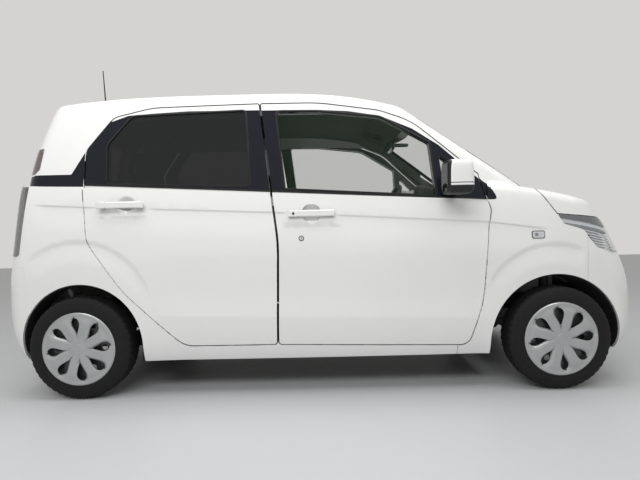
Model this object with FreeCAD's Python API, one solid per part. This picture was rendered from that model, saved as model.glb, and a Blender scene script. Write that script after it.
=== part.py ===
import FreeCAD, Part
import math
import os

V = FreeCAD.Vector

# A kei car in millimetres: +X forward, +Y to its left, +Z up.
# The origin is on the ground, at the middle of its length and width.

# Overall sizes
wheelbase = 2520.0
front_hub_x = 1242.5
rear_hub_x = front_hub_x - wheelbase
track = 1300.0
half_length = 1697.5
half_width = 737.0
roof_height = 1655.0

# Shell: wall thickness at the sides, roof, nose and tail, and shut gaps
side_wall = 60.0
roof_wall = 40.0
nose_wall = 60.0
tail_wall = 60.0
glass_set = 4.0
glass_thick = 5.0
shut_gap = 6.0
seat_gap = 0.3
crown_radius = 4480.0

door_flange = 14.0
door_step = 15.0
roof_round = 50.0
bonnet_round = 55.0

# Belt plane, which falls towards the nose
belt_height = 1050.0
belt_slope = -0.052

# Wheels
tyre_radius = 270.0
tyre_width = 157.0
tyre_shoulder = 18.0
rim_radius = 176.0
rim_thick = 13.0
rim_lip = 6.0
disc_out = 44.0
disc_in = 34.0
vent_count = 6
vent_radius = 16.0
vent_place = 122.0

# Wheel cover: a ring clipped into the rim, a hub cap, and twisted paddles between
cover_radius = 192.0
cover_face = 81.0
cover_skirt = 10.0
ring_in = 160.0
cap_radius = 46.0
cap_face = 83.0
paddle_count = 8

# Rows: radius, lean of the paddle round the axle in degrees, half width, and how far
# its edge, crest, far edge and back stand out from the hub
paddle_sections = [
    (38, 0.0, 14.0, 79.0, 82.0, 79.0, 66.0),
    (80, 1.5, 24.0, 78.0, 85.5, 80.0, 66.0),
    (140, 4.8, 35.0, 77.0, 85.0, 79.0, 73.2),
    (162, 6.0, 52.0, 79.0, 81.0, 79.5, 73.2),
]
front_arch = (1232.0, 262.0, 346.0)
rear_arch = (-1270.0, 285.0, 322.0)
liner_wall = 6.0
front_liner_in = 415.0
rear_liner_in = 545.0

# Underbody
floor_low = 190.0
floor_thick = 30.0
rear_floor = 340.0
sill_low = 187.0

# Plan outlines of the body. The side is one large arc, the nose and tail are
# arcs whose bulge is measured at bulge_y, and the corners are arcs between them.
side_radius = 35000.0
side_centre_x = -100.0
bulge_y = 600.0

# height, half width, nose x, nose bulge, nose corner, tail x, tail bulge, tail corner
body_sections = [
    (sill_low, 688, 1625, 20, 130, -1615, 10, 100),
    (240, 708, 1668, 20, 130, -1655, 10, 100),
    (430, 730, half_length, 20, 130, -half_length, 12, 100),
    (640, half_width, 1687, 45, 160, -1688, 12, 100),
    (860, 735, 1632, 90, 200, -1657, 12, 100),
    (1010, 724, 1560, 100, 200, -1640, 12, 100),
    (1200, 690, 1440, 110, 200, -1608, 12, 100),
]
cabin_sections = [
    (960, 716, 1300, 60, 110, -1610, 14, 100),
    (1100, 690, 1118, 60, 110, -1603, 14, 100),
    (1330, 645, 796, 60, 110, -1563, 14, 100),
    (1500, 606, 558, 60, 110, -1508, 14, 100),
    (1700, 560, 278, 60, 110, -1420, 14, 100),
]

# Roof and bonnet lines on the centre plane, as x, z
roof_line = [
    (-1750, 1560), (-1400, 1620), (-450, roof_height), (150, 1630), (430, 1570), (800, 1430), (1400, 1180),
]
bonnet_line = [
    (880, 1150), (1100, 1122), (1250, 1092), (1400, 1052), (1500, 1008), (1580, 945), (1640, 860), (1720, 700),
]

lamp_low = 712.0
bumper_split_x = 1394.0

# Shut lines seen from the side, as x, z, corner radius
front_door_line = [
    (-313, 1557, 10), (-253, 1087, 500), (-218, 804, 900), (-233, 267, 20), (770, 240, 60),
    (845, 480, 500), (876, 860, 200), (890, 950, 60), (846, 1096, 20), (838, 1142, 15),
    (500, 1440, 350), (330, 1505, 300), (0, 1555, 900),
]
rear_door_line = [
    (-319, 1557, 10), (-259, 1087, 500), (-224, 804, 900), (-239, 267, 20), (-730, 268, 130),
    (-1040, 560, 700), (-1222, 820, 160), (-1247, 1121, 300), (-1247, 1320, 60), (-1110, 1500, 90),
    (-900, 1549, 500),
]
front_window_line = [
    (-226, 1510, 20), (-180, 1086, 8), (612, 1033, 8), (590, 1316, 25), (330, 1468, 120), (0, 1506, 300),
]
quarter_window_line = [(651, 1090, 8), (634, 1250, 8), (758, 1140, 15), (758, 1090, 15)]
rear_window_line = [
    (-392, 1518, 20), (-366, 1102, 15), (-1124, 1133, 20), (-1136, 1345, 60), (-1010, 1503, 60),
]
bonnet_side_line = [
    (1100, 1300), (1132, 1063, 60), (1237, 922, 10), (1471, 899, 40), (1530, 868), (1800, 868), (1800, 1300),
]
headlamp_line = [
    (1237, 921, 6), (1471, 898, 40), (1530, 866, 0), (1800, 866), (1800, lamp_low), (1534, lamp_low, 8),
    (1446, 743, 30), (1373, 838, 40), (1272, 869, 20),
]
grille_line = [(1480, 864), (1800, 864), (1800, lamp_low), (1480, lamp_low)]
front_bumper_line = [
    (bumper_split_x + 1.5, 100), (bumper_split_x + 1.5, 803), (1446, 743, 30), (1534, lamp_low, 8),
    (1800, lamp_low), (1800, 100),
]
rear_bumper_line = [(-1560, 100), (-1560, 700), (-1800, 700), (-1800, 100)]
fender_line = [
    (720, 160), (720, 236), (776, 236, 60), (851, 480, 500), (882, 860, 200), (896, 950, 60), (852, 1096, 20),
    (905, 1170), (1300, 1300), (bumper_split_x, 1300), (bumper_split_x, 160),
]
tail_lamp_low_line = [(-1535, 1126), (-1700, 1126), (-1700, 760), (-1585, 760, 20)]
tail_lamp_high_line = [(-1497, 1221), (-1527, 1196), (-1700, 1196), (-1700, 1335), (-1482, 1335)]
garnish_line = [(-1253, 1310), (-1253, 1121), (-1530, 1130), (-1530, 1190), (-1322, 1189, 10)]

# Front and rear outlines, as y, z, corner radius
windscreen_outline = [(-612, 1060, 20), (612, 1060, 20), (522, 1500, 50), (-522, 1500, 50)]
tailgate_outline = [(-575, 560, 60), (575, 560, 60), (578, 1150, 200), (512, 1800), (-512, 1800), (-578, 1150, 200)]
tailgate_window = [(-520, 1150, 60), (520, 1150, 60), (468, 1520, 50), (-468, 1520, 50)]
tailgate_front = -1445.0
hinge_x = -1440.0
hinge_z = 1620.0
hinge_y = 300.0
hinge_radius = 7.0
hinge_half = 20.0
intake_line = [(-420, 250, 20), (420, 250, 20), (380, 345, 20), (-380, 345, 20)]
slat_pitch = 24.0
slat_gap = 13.0
headlamp_in = 430.0
bonnet_rear = 1050.0
bonnet_half = 610.0
roof_half = 545.0
roof_front = 760.0
arch_depth = 414.7

# Handles, mirrors and aerial
handle_out = 752.0
handle_reach = 22.0
bar_length = 240.0
bar_height = 34.0
bar_thick = 14.0
cup_radius = 75.0
cup_half = 50.0
cup_depth = 22.0
mirror_x0 = 612.0
mirror_x1 = 748.0
mirror_in = 765.0
mirror_out = 915.0
mirror_z0 = 1026.0
mirror_z1 = 1194.0
mirror_round = 34.0
mirror_edge = 9.0
aerial_x = -1225.0
aerial_y = 430.0
aerial_z = 1590.0

plate_spacing = 210.0
plate_hole = 3.5
front_plate_z = 460.0
rear_plate_z = 900.0

# Inside and below
seat_y = 330.0
wheel_x = 400.0
wheel_z = 950.0
column_lean = math.radians(25.0)
well_out = 745.0
heel_x = -600.0
engine_half = 270.0
cowl_width = 95.0
cowl_drop = 14.0
steer_y = 530.0
strut_top = 838.0
rail_y = 360.0


def arc(start, through, end):
    return Part.Arc(start, through, end).toShape()


def circle_crossing(c1, r1, c2, r2):
    """The crossing of two circles that lies on the right side of the car."""
    dx, dy = c2[0] - c1[0], c2[1] - c1[1]
    d = math.hypot(dx, dy)
    a = (d * d + r1 * r1 - r2 * r2) / (2 * d)
    h = math.sqrt(r1 * r1 - a * a)
    mx, my = c1[0] + a * dx / d, c1[1] + a * dy / d
    one = (mx - h * dy / d, my + h * dx / d)
    two = (mx + h * dy / d, my - h * dx / d)
    return one if one[1] < two[1] else two


def corner_points(half, end_x, bulge, radius, sign):
    """Side tangent, middle and end tangent of a corner on the right side."""
    side_c = (side_centre_x, side_radius - half)
    end_r = bulge_y ** 2 / (2 * bulge)
    end_c = (end_x - sign * end_r, 0.0)
    c = circle_crossing(side_c, side_radius - radius, end_c, end_r - radius)

    def out_from(base, size):
        d = math.hypot(c[0] - base[0], c[1] - base[1])
        return (base[0] + (c[0] - base[0]) / d * size, base[1] + (c[1] - base[1]) / d * size)

    on_side = out_from(side_c, side_radius)
    on_end = out_from(end_c, end_r)
    ux = (on_side[0] + on_end[0]) / 2 - c[0]
    uy = (on_side[1] + on_end[1]) / 2 - c[1]
    size = math.hypot(ux, uy)
    middle = (c[0] + ux / size * radius, c[1] + uy / size * radius)
    return on_side, middle, on_end


def plan_outline(row, inset, nose_inset, tail_inset):
    z, half, nose, nose_bulge, nose_r, tail, tail_bulge, tail_r = row
    half -= inset
    nose -= nose_inset
    tail += tail_inset
    nose_r = max(nose_r - inset, 25.0)
    tail_r = max(tail_r - inset, 25.0)
    fs, fm, fn = corner_points(half, nose, nose_bulge, nose_r, 1)
    rs, rm, rn = corner_points(half, tail, tail_bulge, tail_r, -1)

    def right(p):
        return V(p[0], p[1], z)

    def left(p):
        return V(p[0], -p[1], z)

    edges = [
        arc(right(rs), V(side_centre_x, -half, z), right(fs)),
        arc(right(fs), right(fm), right(fn)),
        arc(right(fn), V(nose, 0, z), left(fn)),
        arc(left(fn), left(fm), left(fs)),
        arc(left(fs), V(side_centre_x, half, z), left(rs)),
        arc(left(rs), left(rm), left(rn)),
        arc(left(rn), V(tail, 0, z), right(rn)),
        arc(right(rn), right(rm), right(rs)),
    ]
    return Part.Wire(edges)


def stack(table, inset, nose_inset, tail_inset):
    wires = [plan_outline(row, inset, nose_inset, tail_inset) for row in table]
    return Part.makeLoft(wires, True, False, False)


def belt_z(x):
    return belt_height + belt_slope * x


def side_face(points):
    """A face in the XZ plane from x, z, corner radius rows."""
    pts = [V(p[0], 0, p[1]) for p in points]
    radii = [p[2] if len(p) > 2 else 0.0 for p in points]
    edges = []
    count = len(pts)
    starts = []
    ends = []
    for i in range(count):
        before, here, after = pts[i - 1], pts[i], pts[(i + 1) % count]
        r = radii[i]
        a = (before - here).normalize()
        b = (after - here).normalize()
        turn = a.getAngle(b)
        if r <= 0 or abs(turn - math.pi) < 1e-4:
            starts.append(here)
            ends.append(here)
            continue
        reach = r / math.tan(turn / 2)
        p, q = here + a * reach, here + b * reach
        middle_dir = (a + b).normalize()
        centre = here + middle_dir * (r / math.sin(turn / 2))
        middle = centre - middle_dir * r
        starts.append(p)
        ends.append(q)
        edges.append((i, arc(p, middle, q)))
    arcs = dict(edges)
    chain = []
    for i in range(count):
        if i in arcs:
            chain.append(arcs[i])
        nxt = (i + 1) % count
        if (ends[i] - starts[nxt]).Length > 1e-6:
            chain.append(Part.LineSegment(ends[i], starts[nxt]).toShape())
    return Part.Face(Part.Wire(chain))


def side_prism(points, y0, y1, grow=0.0):
    """The outline run through from y0 to y1, grown by an amount all round."""
    face = side_face(points)
    if grow:
        face = face.makeOffset2D(grow, 0, False, False, False)
    face.translate(V(0, y0, 0))
    return face.extrude(V(0, y1 - y0, 0))


def front_prism(points, x0, x1, grow=0.0):
    """An outline of y, z, radius rows run from x0 to x1."""
    face = side_face(points)
    if grow:
        face = face.makeOffset2D(grow, 0, False, False, False)
    face.rotate(V(0, 0, 0), V(0, 0, 1), 90)
    face.translate(V(x0, 0, 0))
    return face.extrude(V(x1 - x0, 0, 0))


def box(x0, x1, y0, y1, z0, z1):
    return Part.makeBox(x1 - x0, y1 - y0, z1 - z0, V(x0, y0, z0))


def mirrored(shape):
    return shape.mirror(V(0, 0, 0), V(0, 1, 0))


def turned(points, through, axis):
    """A solid of revolution: points are distance along axis, radius."""
    wire = Part.makePolygon([V(a, 0, r) for a, r in points] + [V(points[0][0], 0, points[0][1])])
    solid = Part.Face(wire).revolve(V(0, 0, 0), V(1, 0, 0), 360)
    if axis == "y":
        solid.rotate(V(0, 0, 0), V(0, 0, 1), 90)
    solid.translate(through)
    return solid


def crowned(line, drop, low):
    """The space under a line of x, z points, crowned across the car."""
    pts = [V(x, 0, z - drop) for x, z in line]
    curve = Part.BSplineCurve()
    curve.interpolate(pts)
    top = curve.toShape()
    a, b = pts[0], pts[-1]
    side_a = Part.LineSegment(V(a.x, 0, low), a).toShape()
    side_b = Part.LineSegment(b, V(b.x, 0, low)).toShape()
    base = Part.LineSegment(V(b.x, 0, low), V(a.x, 0, low)).toShape()
    face = Part.Face(Part.Wire([side_a, top, side_b, base]))
    centre = V(0, 0, roof_height - crown_radius)
    face.rotate(centre, V(1, 0, 0), -13)
    return face.revolve(centre, V(1, 0, 0), 26)


def master(inset, top_drop, nose_inset, tail_inset):
    """The outside of the body, or the same form inset from it."""
    far = half_length + 100
    join_x = 1100.0
    body = stack(body_sections, inset, nose_inset, tail_inset)
    belt = side_prism([(-far, 100), (join_x, 100), (join_x, belt_z(join_x)), (-far, belt_z(-far))], -900, 900)
    bonnet = crowned(bonnet_line, top_drop, 100.0)
    body = body.common(belt.fuse(bonnet))
    over_belt = side_prism([(-far, belt_z(-far)), (far, belt_z(far)), (far, 2000), (-far, 2000)], -900, 900)
    roof = crowned(roof_line, top_drop, 900.0)
    top = stack(cabin_sections, inset, nose_inset / 0.6, tail_inset).common(over_belt).common(roof)
    return body, top


def middle_of(edge):
    return edge.valueAt((edge.FirstParameter + edge.LastParameter) / 2)


def rounded_outside():
    """The outside of the body, with the roof edge and the bonnet edge rounded."""
    body, top = master(0, 0, 0, 0)

    def on_roof_edge(edge):
        m = middle_of(edge)
        return m.z > 1500 and abs(m.y) < 620

    def on_bonnet_edge(edge):
        m = middle_of(edge)
        return m.x > 950 and m.z > 860

    top = top.makeFillet(roof_round, [e for e in top.Edges if on_roof_edge(e)])
    body = body.makeFillet(bonnet_round, [e for e in body.Edges if on_bonnet_edge(e)])
    return body.fuse(top)


def save(name, shape):
    """One file per piece, and a line that says what it holds."""
    shape.exportStep("parts/" + name + ".step")
    print(name, len(shape.Solids), "solids", round(shape.Volume / 1e6, 2), "litres", shape.isValid())


def whole(shape):
    """A single solid where there is one, otherwise a compound of solids."""
    solids = shape.Solids
    return solids[0] if len(solids) == 1 else Part.makeCompound(solids)


def biggest(shape, count=1):
    solids = sorted(shape.Solids, key=lambda one: -one.Volume)[:count]
    return solids[0] if count == 1 else Part.makeCompound(solids)


os.makedirs("parts", exist_ok=True)
reach = 900.0
half_gap = shut_gap / 2

# Body forms: the outside, the inside of the walls, the door flange depth and
# the two faces of the glass
outside = rounded_outside()
inner_body, inner_top = master(side_wall, roof_wall, nose_wall, tail_wall)
inside = inner_body.fuse(inner_top)
glass_in = glass_set + glass_thick
glass_face = master(glass_set, glass_set, glass_set, glass_set)[1]
glass_back = master(glass_in, glass_in, glass_in, glass_in)[1]
glass_shell = glass_face.cut(glass_back)
flange_body, flange_top = master(door_flange, door_flange, door_flange, door_flange)
shell = outside.cut(inside)

# Wheel arches are cut right through the side walls
for arch_x, arch_z, arch_r in (front_arch, rear_arch):
    opening = Part.makeCylinder(arch_r, 2 * reach, V(arch_x, -reach, arch_z), V(0, 1, 0))
    below = box(arch_x - arch_r, arch_x + arch_r, -reach, reach, 100, arch_z)
    side_only = box(-half_length, half_length, -arch_depth, arch_depth, 0, 2000)
    shell = shell.cut(opening.fuse(below).cut(side_only))

right_side = box(-2000, 2000, -reach, 0, 0, 2000)
right_wall = box(-2000, 2000, -reach, -300, 0, 2000)
right = shell.common(right_side)
flange_inside = flange_body.fuse(flange_top).common(right_wall)
skin = right.common(right_wall).cut(flange_inside)
right_glass = glass_shell.common(right_wall)

# Doors: an outer skin out to the shut line, and the door's depth set in behind it
door_in = -roof_half - shut_gap
doors = {}
door_rows = {
    "front": (front_door_line, [front_window_line, quarter_window_line]),
    "rear": (rear_door_line, [rear_window_line]),
}
for place, (line, windows) in door_rows.items():
    outer = skin.common(side_prism(line, -reach, door_in, -half_gap))
    depth = right.common(side_prism(line, -reach, door_in, -half_gap - door_step))
    holes = [side_prism(window, -reach, -300) for window in windows]
    doors[place] = biggest(outer.fuse(depth).cut(holes))
    panes = [biggest(right_glass.common(hole)) for hole in holes]
    doors[place + "_glass"] = panes[0] if len(panes) == 1 else Part.makeCompound(panes)
    right = right.cut(side_prism(line, -reach, -300, half_gap))

# Windscreen, set in the front opening between the pillars
screen_cut = front_prism(windscreen_outline, 380, 1400)
windscreen = biggest(glass_shell.common(screen_cut))

# Lamps, bonnet, grille, bumper and fenders, taken from the nose
lamp_gap = seat_gap / 2
headlamp = biggest(right.common(side_prism(headlamp_line, -reach, -headlamp_in, -lamp_gap)))
lamp_cut = side_prism(headlamp_line, -reach, -headlamp_in, lamp_gap)
bonnet_region = side_prism(bonnet_side_line, -reach, reach, -half_gap).fuse(
    box(bonnet_rear + half_gap, 1500, -bonnet_half + half_gap, bonnet_half - half_gap, 930, 1300))
bonnet_cut = side_prism(bonnet_side_line, -reach, reach, half_gap).fuse(
    box(bonnet_rear, 1500, -bonnet_half, bonnet_half, 930, 1300))
screen_foot = stack(cabin_sections, 0, -cowl_width, 0)
bonnet_foot = stack(cabin_sections, 0, -cowl_width - seat_gap, 0)
bonnet = biggest(shell.common(bonnet_region).cut(bonnet_foot))
grille_region = side_prism(grille_line, -headlamp_in + half_gap, headlamp_in - half_gap, -lamp_gap)
grille = biggest(shell.common(grille_region))
intake = front_prism(intake_line, 1500, 1800, -lamp_gap)
intake_grille = biggest(shell.common(intake))
slots = []
for z in range(int(intake_line[0][1] + slat_pitch), int(intake_line[2][1] - slat_pitch / 2), int(slat_pitch)):
    slots.append(box(1500, 1800, -350, 350, z - slat_gap / 2, z + slat_gap / 2))
intake_grille = biggest(intake_grille.cut(slots))
bumper_region = side_prism(front_bumper_line, -reach, reach, -lamp_gap)
front_bumper = biggest(shell.common(bumper_region).cut(front_prism(intake_line, 1500, 1800, lamp_gap)))
cowl_space = screen_foot.common(box(800, 1300, -bonnet_half, 0, 960, 1300))
grille_space = side_prism(grille_line, -headlamp_in, 0, lamp_gap)
bumper_space = side_prism(front_bumper_line, -reach, 0, lamp_gap)
for cut in (screen_cut, lamp_cut, bonnet_cut, cowl_space, grille_space, bumper_space):
    right = right.cut(cut)
fender = biggest(right.common(side_prism(fender_line, -reach, -300, -lamp_gap)))
right = right.cut(side_prism(fender_line, -reach, -300, lamp_gap))

# Tailgate with its window, tail lamps and rear bumper
gate_window = front_prism(tailgate_window, -1800, tailgate_front)
gate_region = front_prism(tailgate_outline, -1800, tailgate_front, -half_gap)
tailgate = biggest(shell.common(gate_region).cut(gate_window))
tailgate_glass = biggest(glass_shell.common(gate_window))
gate_cut = front_prism(tailgate_outline, -1800, tailgate_front + half_gap, half_gap)
right = right.cut(gate_cut)
tail_lamps = []
for line in (tail_lamp_low_line, tail_lamp_high_line):
    tail_lamps.append(biggest(right.common(side_prism(line, -reach, -300, -lamp_gap))))
    right = right.cut(side_prism(line, -reach, -300, lamp_gap))
rear_bumper = biggest(shell.cut(gate_cut).common(side_prism(rear_bumper_line, -reach, reach, -lamp_gap)))
right = right.cut(side_prism(rear_bumper_line, -reach, 0, lamp_gap))

# Roof panel between the side frames, and the dark trim behind the rear doors
roof_box = box(-1800, roof_front, -roof_half, roof_half, 1490, 1800)
roof_panel = biggest(shell.cut(gate_cut).cut(screen_cut).common(roof_box))
right = right.cut(roof_box)
garnish = biggest(right.common(side_prism(garnish_line, -reach, -300, -0.5)))
right = right.cut(side_prism(garnish_line, -reach, -300))
side_frame = biggest(right)

# Plate screw holes in the bumper and the tailgate
for y in (-plate_spacing / 2, plate_spacing / 2):
    front_bumper = front_bumper.cut(Part.makeCylinder(plate_hole, 200, V(1550, y, front_plate_z), V(1, 0, 0)))
    tailgate = tailgate.cut(Part.makeCylinder(plate_hole, 200, V(-1750, y, rear_plate_z), V(1, 0, 0)))

# Tailgate hinges: a lug on the gate between two ears on the roof, all about one pin line
def hinge_lug(y0, y1, x0, x1):
    """A round boss on the pin line with a web that reaches from x0 to x1."""
    boss = Part.makeCylinder(hinge_radius, y1 - y0, V(hinge_x, y0, hinge_z), V(0, 1, 0))
    return boss.fuse(box(x0, x1, y0, y1, hinge_z - 28, hinge_z + 3))


ear_half = hinge_half + seat_gap
gate_lugs = []
roof_ears = []
for y in (-hinge_y, hinge_y):
    gate_lugs.append(hinge_lug(y - hinge_half, y + hinge_half, hinge_x - 35, tailgate_front))
    roof_ears.append(hinge_lug(y - ear_half - 14, y - ear_half, tailgate_front + half_gap + 2, hinge_x + 35))
    roof_ears.append(hinge_lug(y + ear_half, y + ear_half + 14, tailgate_front + half_gap + 2, hinge_x + 35))
tailgate = biggest(tailgate.fuse(gate_lugs))
roof_panel = biggest(roof_panel.fuse(roof_ears))

# Handles: a bar on two feet over a round cup in the door skin
for place, bar_x, bar_z in (("front", -46.0, 952.0), ("rear", -1032.0, 1016.0)):
    scoop_y = -handle_out - cup_radius + handle_reach + cup_depth
    scoop = Part.makeCylinder(cup_radius, 2 * cup_radius, V(bar_x - cup_radius, scoop_y, bar_z), V(1, 0, 0))
    cup = scoop.common(Part.makeCylinder(cup_half, 200, V(bar_x, -handle_out - 100, bar_z), V(0, 1, 0)))
    bar = box(bar_x - bar_length / 2, bar_x + bar_length / 2, -handle_out, -handle_out + bar_thick,
              bar_z - bar_height / 2, bar_z + bar_height / 2)
    bar = bar.makeFillet(bar_thick * 0.45, [e for e in bar.Edges if abs(middle_of(e).y + handle_out) < 1])
    feet = []
    for end in (-1, 1):
        foot_x = bar_x + end * (bar_length / 2 - 22.0)
        feet.append(box(foot_x - 16, foot_x + 16, -handle_out + 4, -handle_out + 60, bar_z - 9, bar_z + 9))
    doors[place] = biggest(doors[place].cut(cup).fuse([bar] + feet))

# Door mirror: a rounded housing on a foot, with a recess for the glass
housing = box(mirror_x0, mirror_x1, -mirror_out, -mirror_in, mirror_z0, mirror_z1)
upright = [e for e in housing.Edges if abs(e.BoundBox.ZLength) > 1 and middle_of(e).x > mirror_x0 + 5]
housing = housing.makeFillet(mirror_round, upright)
rims = [e for e in housing.Edges if e.BoundBox.ZLength < 0.01 and middle_of(e).x > mirror_x0 + 1]
housing = housing.makeChamfer(mirror_edge, rims)
recess = box(mirror_x0 - 1, mirror_x0 + 8, -mirror_out + 12, -mirror_in - 12, mirror_z0 + 12, mirror_z1 - 12)
housing = housing.cut(recess)
foot = box(mirror_x0 + 35, mirror_x0 + 95, -mirror_in - 10, -650, mirror_z0 + 6, mirror_z0 + 36)
foot = foot.cut(outside)
mirror = biggest(housing.fuse(foot))

# Underbody: floor, bulkhead, front rails, raised rear floor and wheel wells
cabin_floor = inside.common(box(heel_x, 905, -reach, reach, floor_low, floor_low + floor_thick))
bulkhead = inside.common(box(905, 935, -reach, reach, floor_low, 985))
tail_floor = inside.common(box(-1600, heel_x, -reach, reach, rear_floor, rear_floor + floor_thick))
kick = inside.common(box(heel_x - 15, heel_x, -reach, reach, floor_low, rear_floor + floor_thick))
hangers = [box(-960, -900, y - 25, y + 25, 300.3, rear_floor) for y in (-510, 510)]
bearers = [box(1180, 1240, -rail_y, -engine_half - seat_gap, 400, 450), box(1180, 1240, engine_half + seat_gap, rail_y, 400, 450)]
under = cabin_floor.fuse([bulkhead, tail_floor, kick] + hangers + bearers)
wells = []
for (arch_x, arch_z, arch_r), well_in in ((front_arch, front_liner_in), (rear_arch, rear_liner_in)):
    tube = Part.makeCylinder(arch_r - seat_gap, well_out - well_in, V(arch_x, -well_out, arch_z), V(0, 1, 0))
    bore = Part.makeCylinder(arch_r - liner_wall, well_out - well_in, V(arch_x, -well_out, arch_z), V(0, 1, 0))
    lower = box(arch_x - arch_r, arch_x + arch_r, -well_out, -well_in, 0, floor_low)
    clear = box(arch_x - arch_r - 1, arch_x + arch_r + 1, -reach, -well_in, 0, arch_z)
    hollow = bore.fuse(clear)
    under = under.cut(hollow).cut(mirrored(hollow))
    well = tube.cut(bore).cut(lower).common(flange_inside.fuse(inside))
    wells.append(biggest(well))
rails = [box(934, 1600, -rail_y - 45, -rail_y, 380, 470), box(934, 1600, rail_y, rail_y + 45, 380, 470)]
cross = box(1580, 1610, -rail_y - 45, rail_y + 45, 380, 480)
tower = Part.makeCylinder(88, 285, V(front_hub_x, -steer_y, 560), V(0, 0, 1))
tower = tower.cut(Part.makeCylinder(front_arch[2] - seat_gap, 400, V(front_arch[0], -reach + 200, front_arch[1]), V(0, 1, 0)))
tower_bore = Part.makeCylinder(80, strut_top + seat_gap - 300, V(front_hub_x, -steer_y, 300), V(0, 0, 1))
pieces = wells + [mirrored(one) for one in wells] + rails + [cross, tower, mirrored(tower)]
under = under.fuse(pieces).cut(tower_bore).cut(mirrored(tower_bore))

# Wheels, turned about their axles
def paddle():
    """One blade of the wheel cover: straight faces run from hub to rim through its sections."""
    wires = []
    for radius, lean, half, edge, crest, far_edge, back in paddle_sections:
        profile = [(-half, back), (-half, edge), (-half * 0.72, crest), (half, far_edge), (half, back)]
        corners = []
        for along, out in profile:
            corner = V(radius, -out, along)
            turn = math.radians(lean)
            corners.append(V(corner.x * math.cos(turn) - corner.z * math.sin(turn), corner.y,
                             corner.x * math.sin(turn) + corner.z * math.cos(turn)))
        wires.append(Part.makePolygon(corners + [corners[0]]))
    return Part.makeLoft(wires, True, True)


def wheel_pieces():
    half = tyre_width / 2
    bead = half - rim_lip
    tyre = turned([(-half, rim_radius), (-half, tyre_radius - tyre_shoulder), (-half + tyre_shoulder, tyre_radius),
                   (half - tyre_shoulder, tyre_radius), (half, tyre_radius - tyre_shoulder), (half, rim_radius)],
                  V(0, 0, 0), "y")
    barrel_in = rim_radius - rim_thick
    rim = turned([(-bead, rim_radius), (-bead, barrel_in), (-disc_out, barrel_in), (-disc_out, 0), (-disc_in, 0),
                  (-disc_in, barrel_in), (bead, barrel_in), (bead, rim_radius)], V(0, 0, 0), "y")
    vents = []
    for k in range(vent_count):
        a = math.radians(k * 360 / vent_count)
        at = V(vent_place * math.cos(a), -disc_out - 1, vent_place * math.sin(a))
        vents.append(Part.makeCylinder(vent_radius, disc_out - disc_in + 2, at, V(0, 1, 0)))
    rim = rim.cut(vents)
    seat = half + seat_gap
    ring = turned([(-cover_face, ring_in), (-cover_face, cover_radius), (-seat, cover_radius), (-seat, rim_radius - 1),
                   (-bead - seat_gap, rim_radius - 1), (-bead - seat_gap, rim_radius - 1 - cover_skirt),
                   (-seat, rim_radius - 1 - cover_skirt), (-seat, ring_in)], V(0, 0, 0), "y")
    cap = Part.makeCylinder(cap_radius, cap_face - 66, V(0, -cap_face, 0), V(0, 1, 0))
    blades = []
    for k in range(paddle_count):
        blade = paddle()
        blade.rotate(V(0, 0, 0), V(0, 1, 0), k * 360 / paddle_count)
        blades.append(blade)
    cover = biggest(ring.fuse([cap] + blades))
    return tyre, rim, cover


tyre, rim, cover = wheel_pieces()

# Knuckle with its spindle, and the suspension that carries it
steer_x = front_hub_x
boss = Part.makeCylinder(30, 108, V(steer_x, -steer_y, 236), V(0, 0, 1))
hub_face = track / 2 + disc_in - seat_gap
spindle = Part.makeCylinder(28, hub_face - steer_y, V(steer_x, -hub_face, tyre_radius), V(0, 1, 0))
knuckle = biggest(boss.fuse(spindle))
strut = Part.makeCylinder(24, 480, V(steer_x, -steer_y, 344 + seat_gap), V(0, 0, 1))
spring = Part.makeCylinder(58, 150, V(steer_x, -steer_y, 620), V(0, 0, 1))
top_mount = Part.makeCylinder(72, 14, V(steer_x, -steer_y, strut_top - 14), V(0, 0, 1))
arm = box(steer_x - 30, steer_x + 30, -steer_y - 30, -250, 205, 235.7)
brace = box(steer_x - 60, steer_x + 60, -250, 250, 200, 250)
legs = [strut.fuse([spring, top_mount]), arm]
front_suspension = brace.fuse(legs[1:] + [mirrored(arm)])
front_suspension = Part.makeCompound([biggest(front_suspension), legs[0], mirrored(legs[0])])

# Rear axle: a twist beam with trailing arms and stub axles
beam = box(-1090, -1030, -520, 520, 250, 300)
trail = box(rear_hub_x - 40, -920, -530, -490, 235, 300)
stub = Part.makeCylinder(28, hub_face - 510, V(rear_hub_x, -hub_face, tyre_radius), V(0, 1, 0))
rear_axle = beam.fuse([trail, stub, mirrored(trail), mirrored(stub)])

# Engine block, fuel tank, exhaust
engine = box(1010, 1420, -engine_half, engine_half, 300, 820)
fuel_tank = box(-620, -60, -330, 330, 152, floor_low)
pipe = box(-1440, 950, 110, 150, 148, floor_low - seat_gap)
muffler = Part.makeCylinder(68, 420, V(-1450, -210, 262), V(0, 1, 0))
tail_pipe = Part.makeCylinder(20, 70, V(-1540, 150, 240), V(1, 0, 0))
exhaust_hanger = box(-1465, -1435, -15, 15, 300, rear_floor - seat_gap)
exhaust = muffler.fuse([pipe, tail_pipe, exhaust_hanger])

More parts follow.
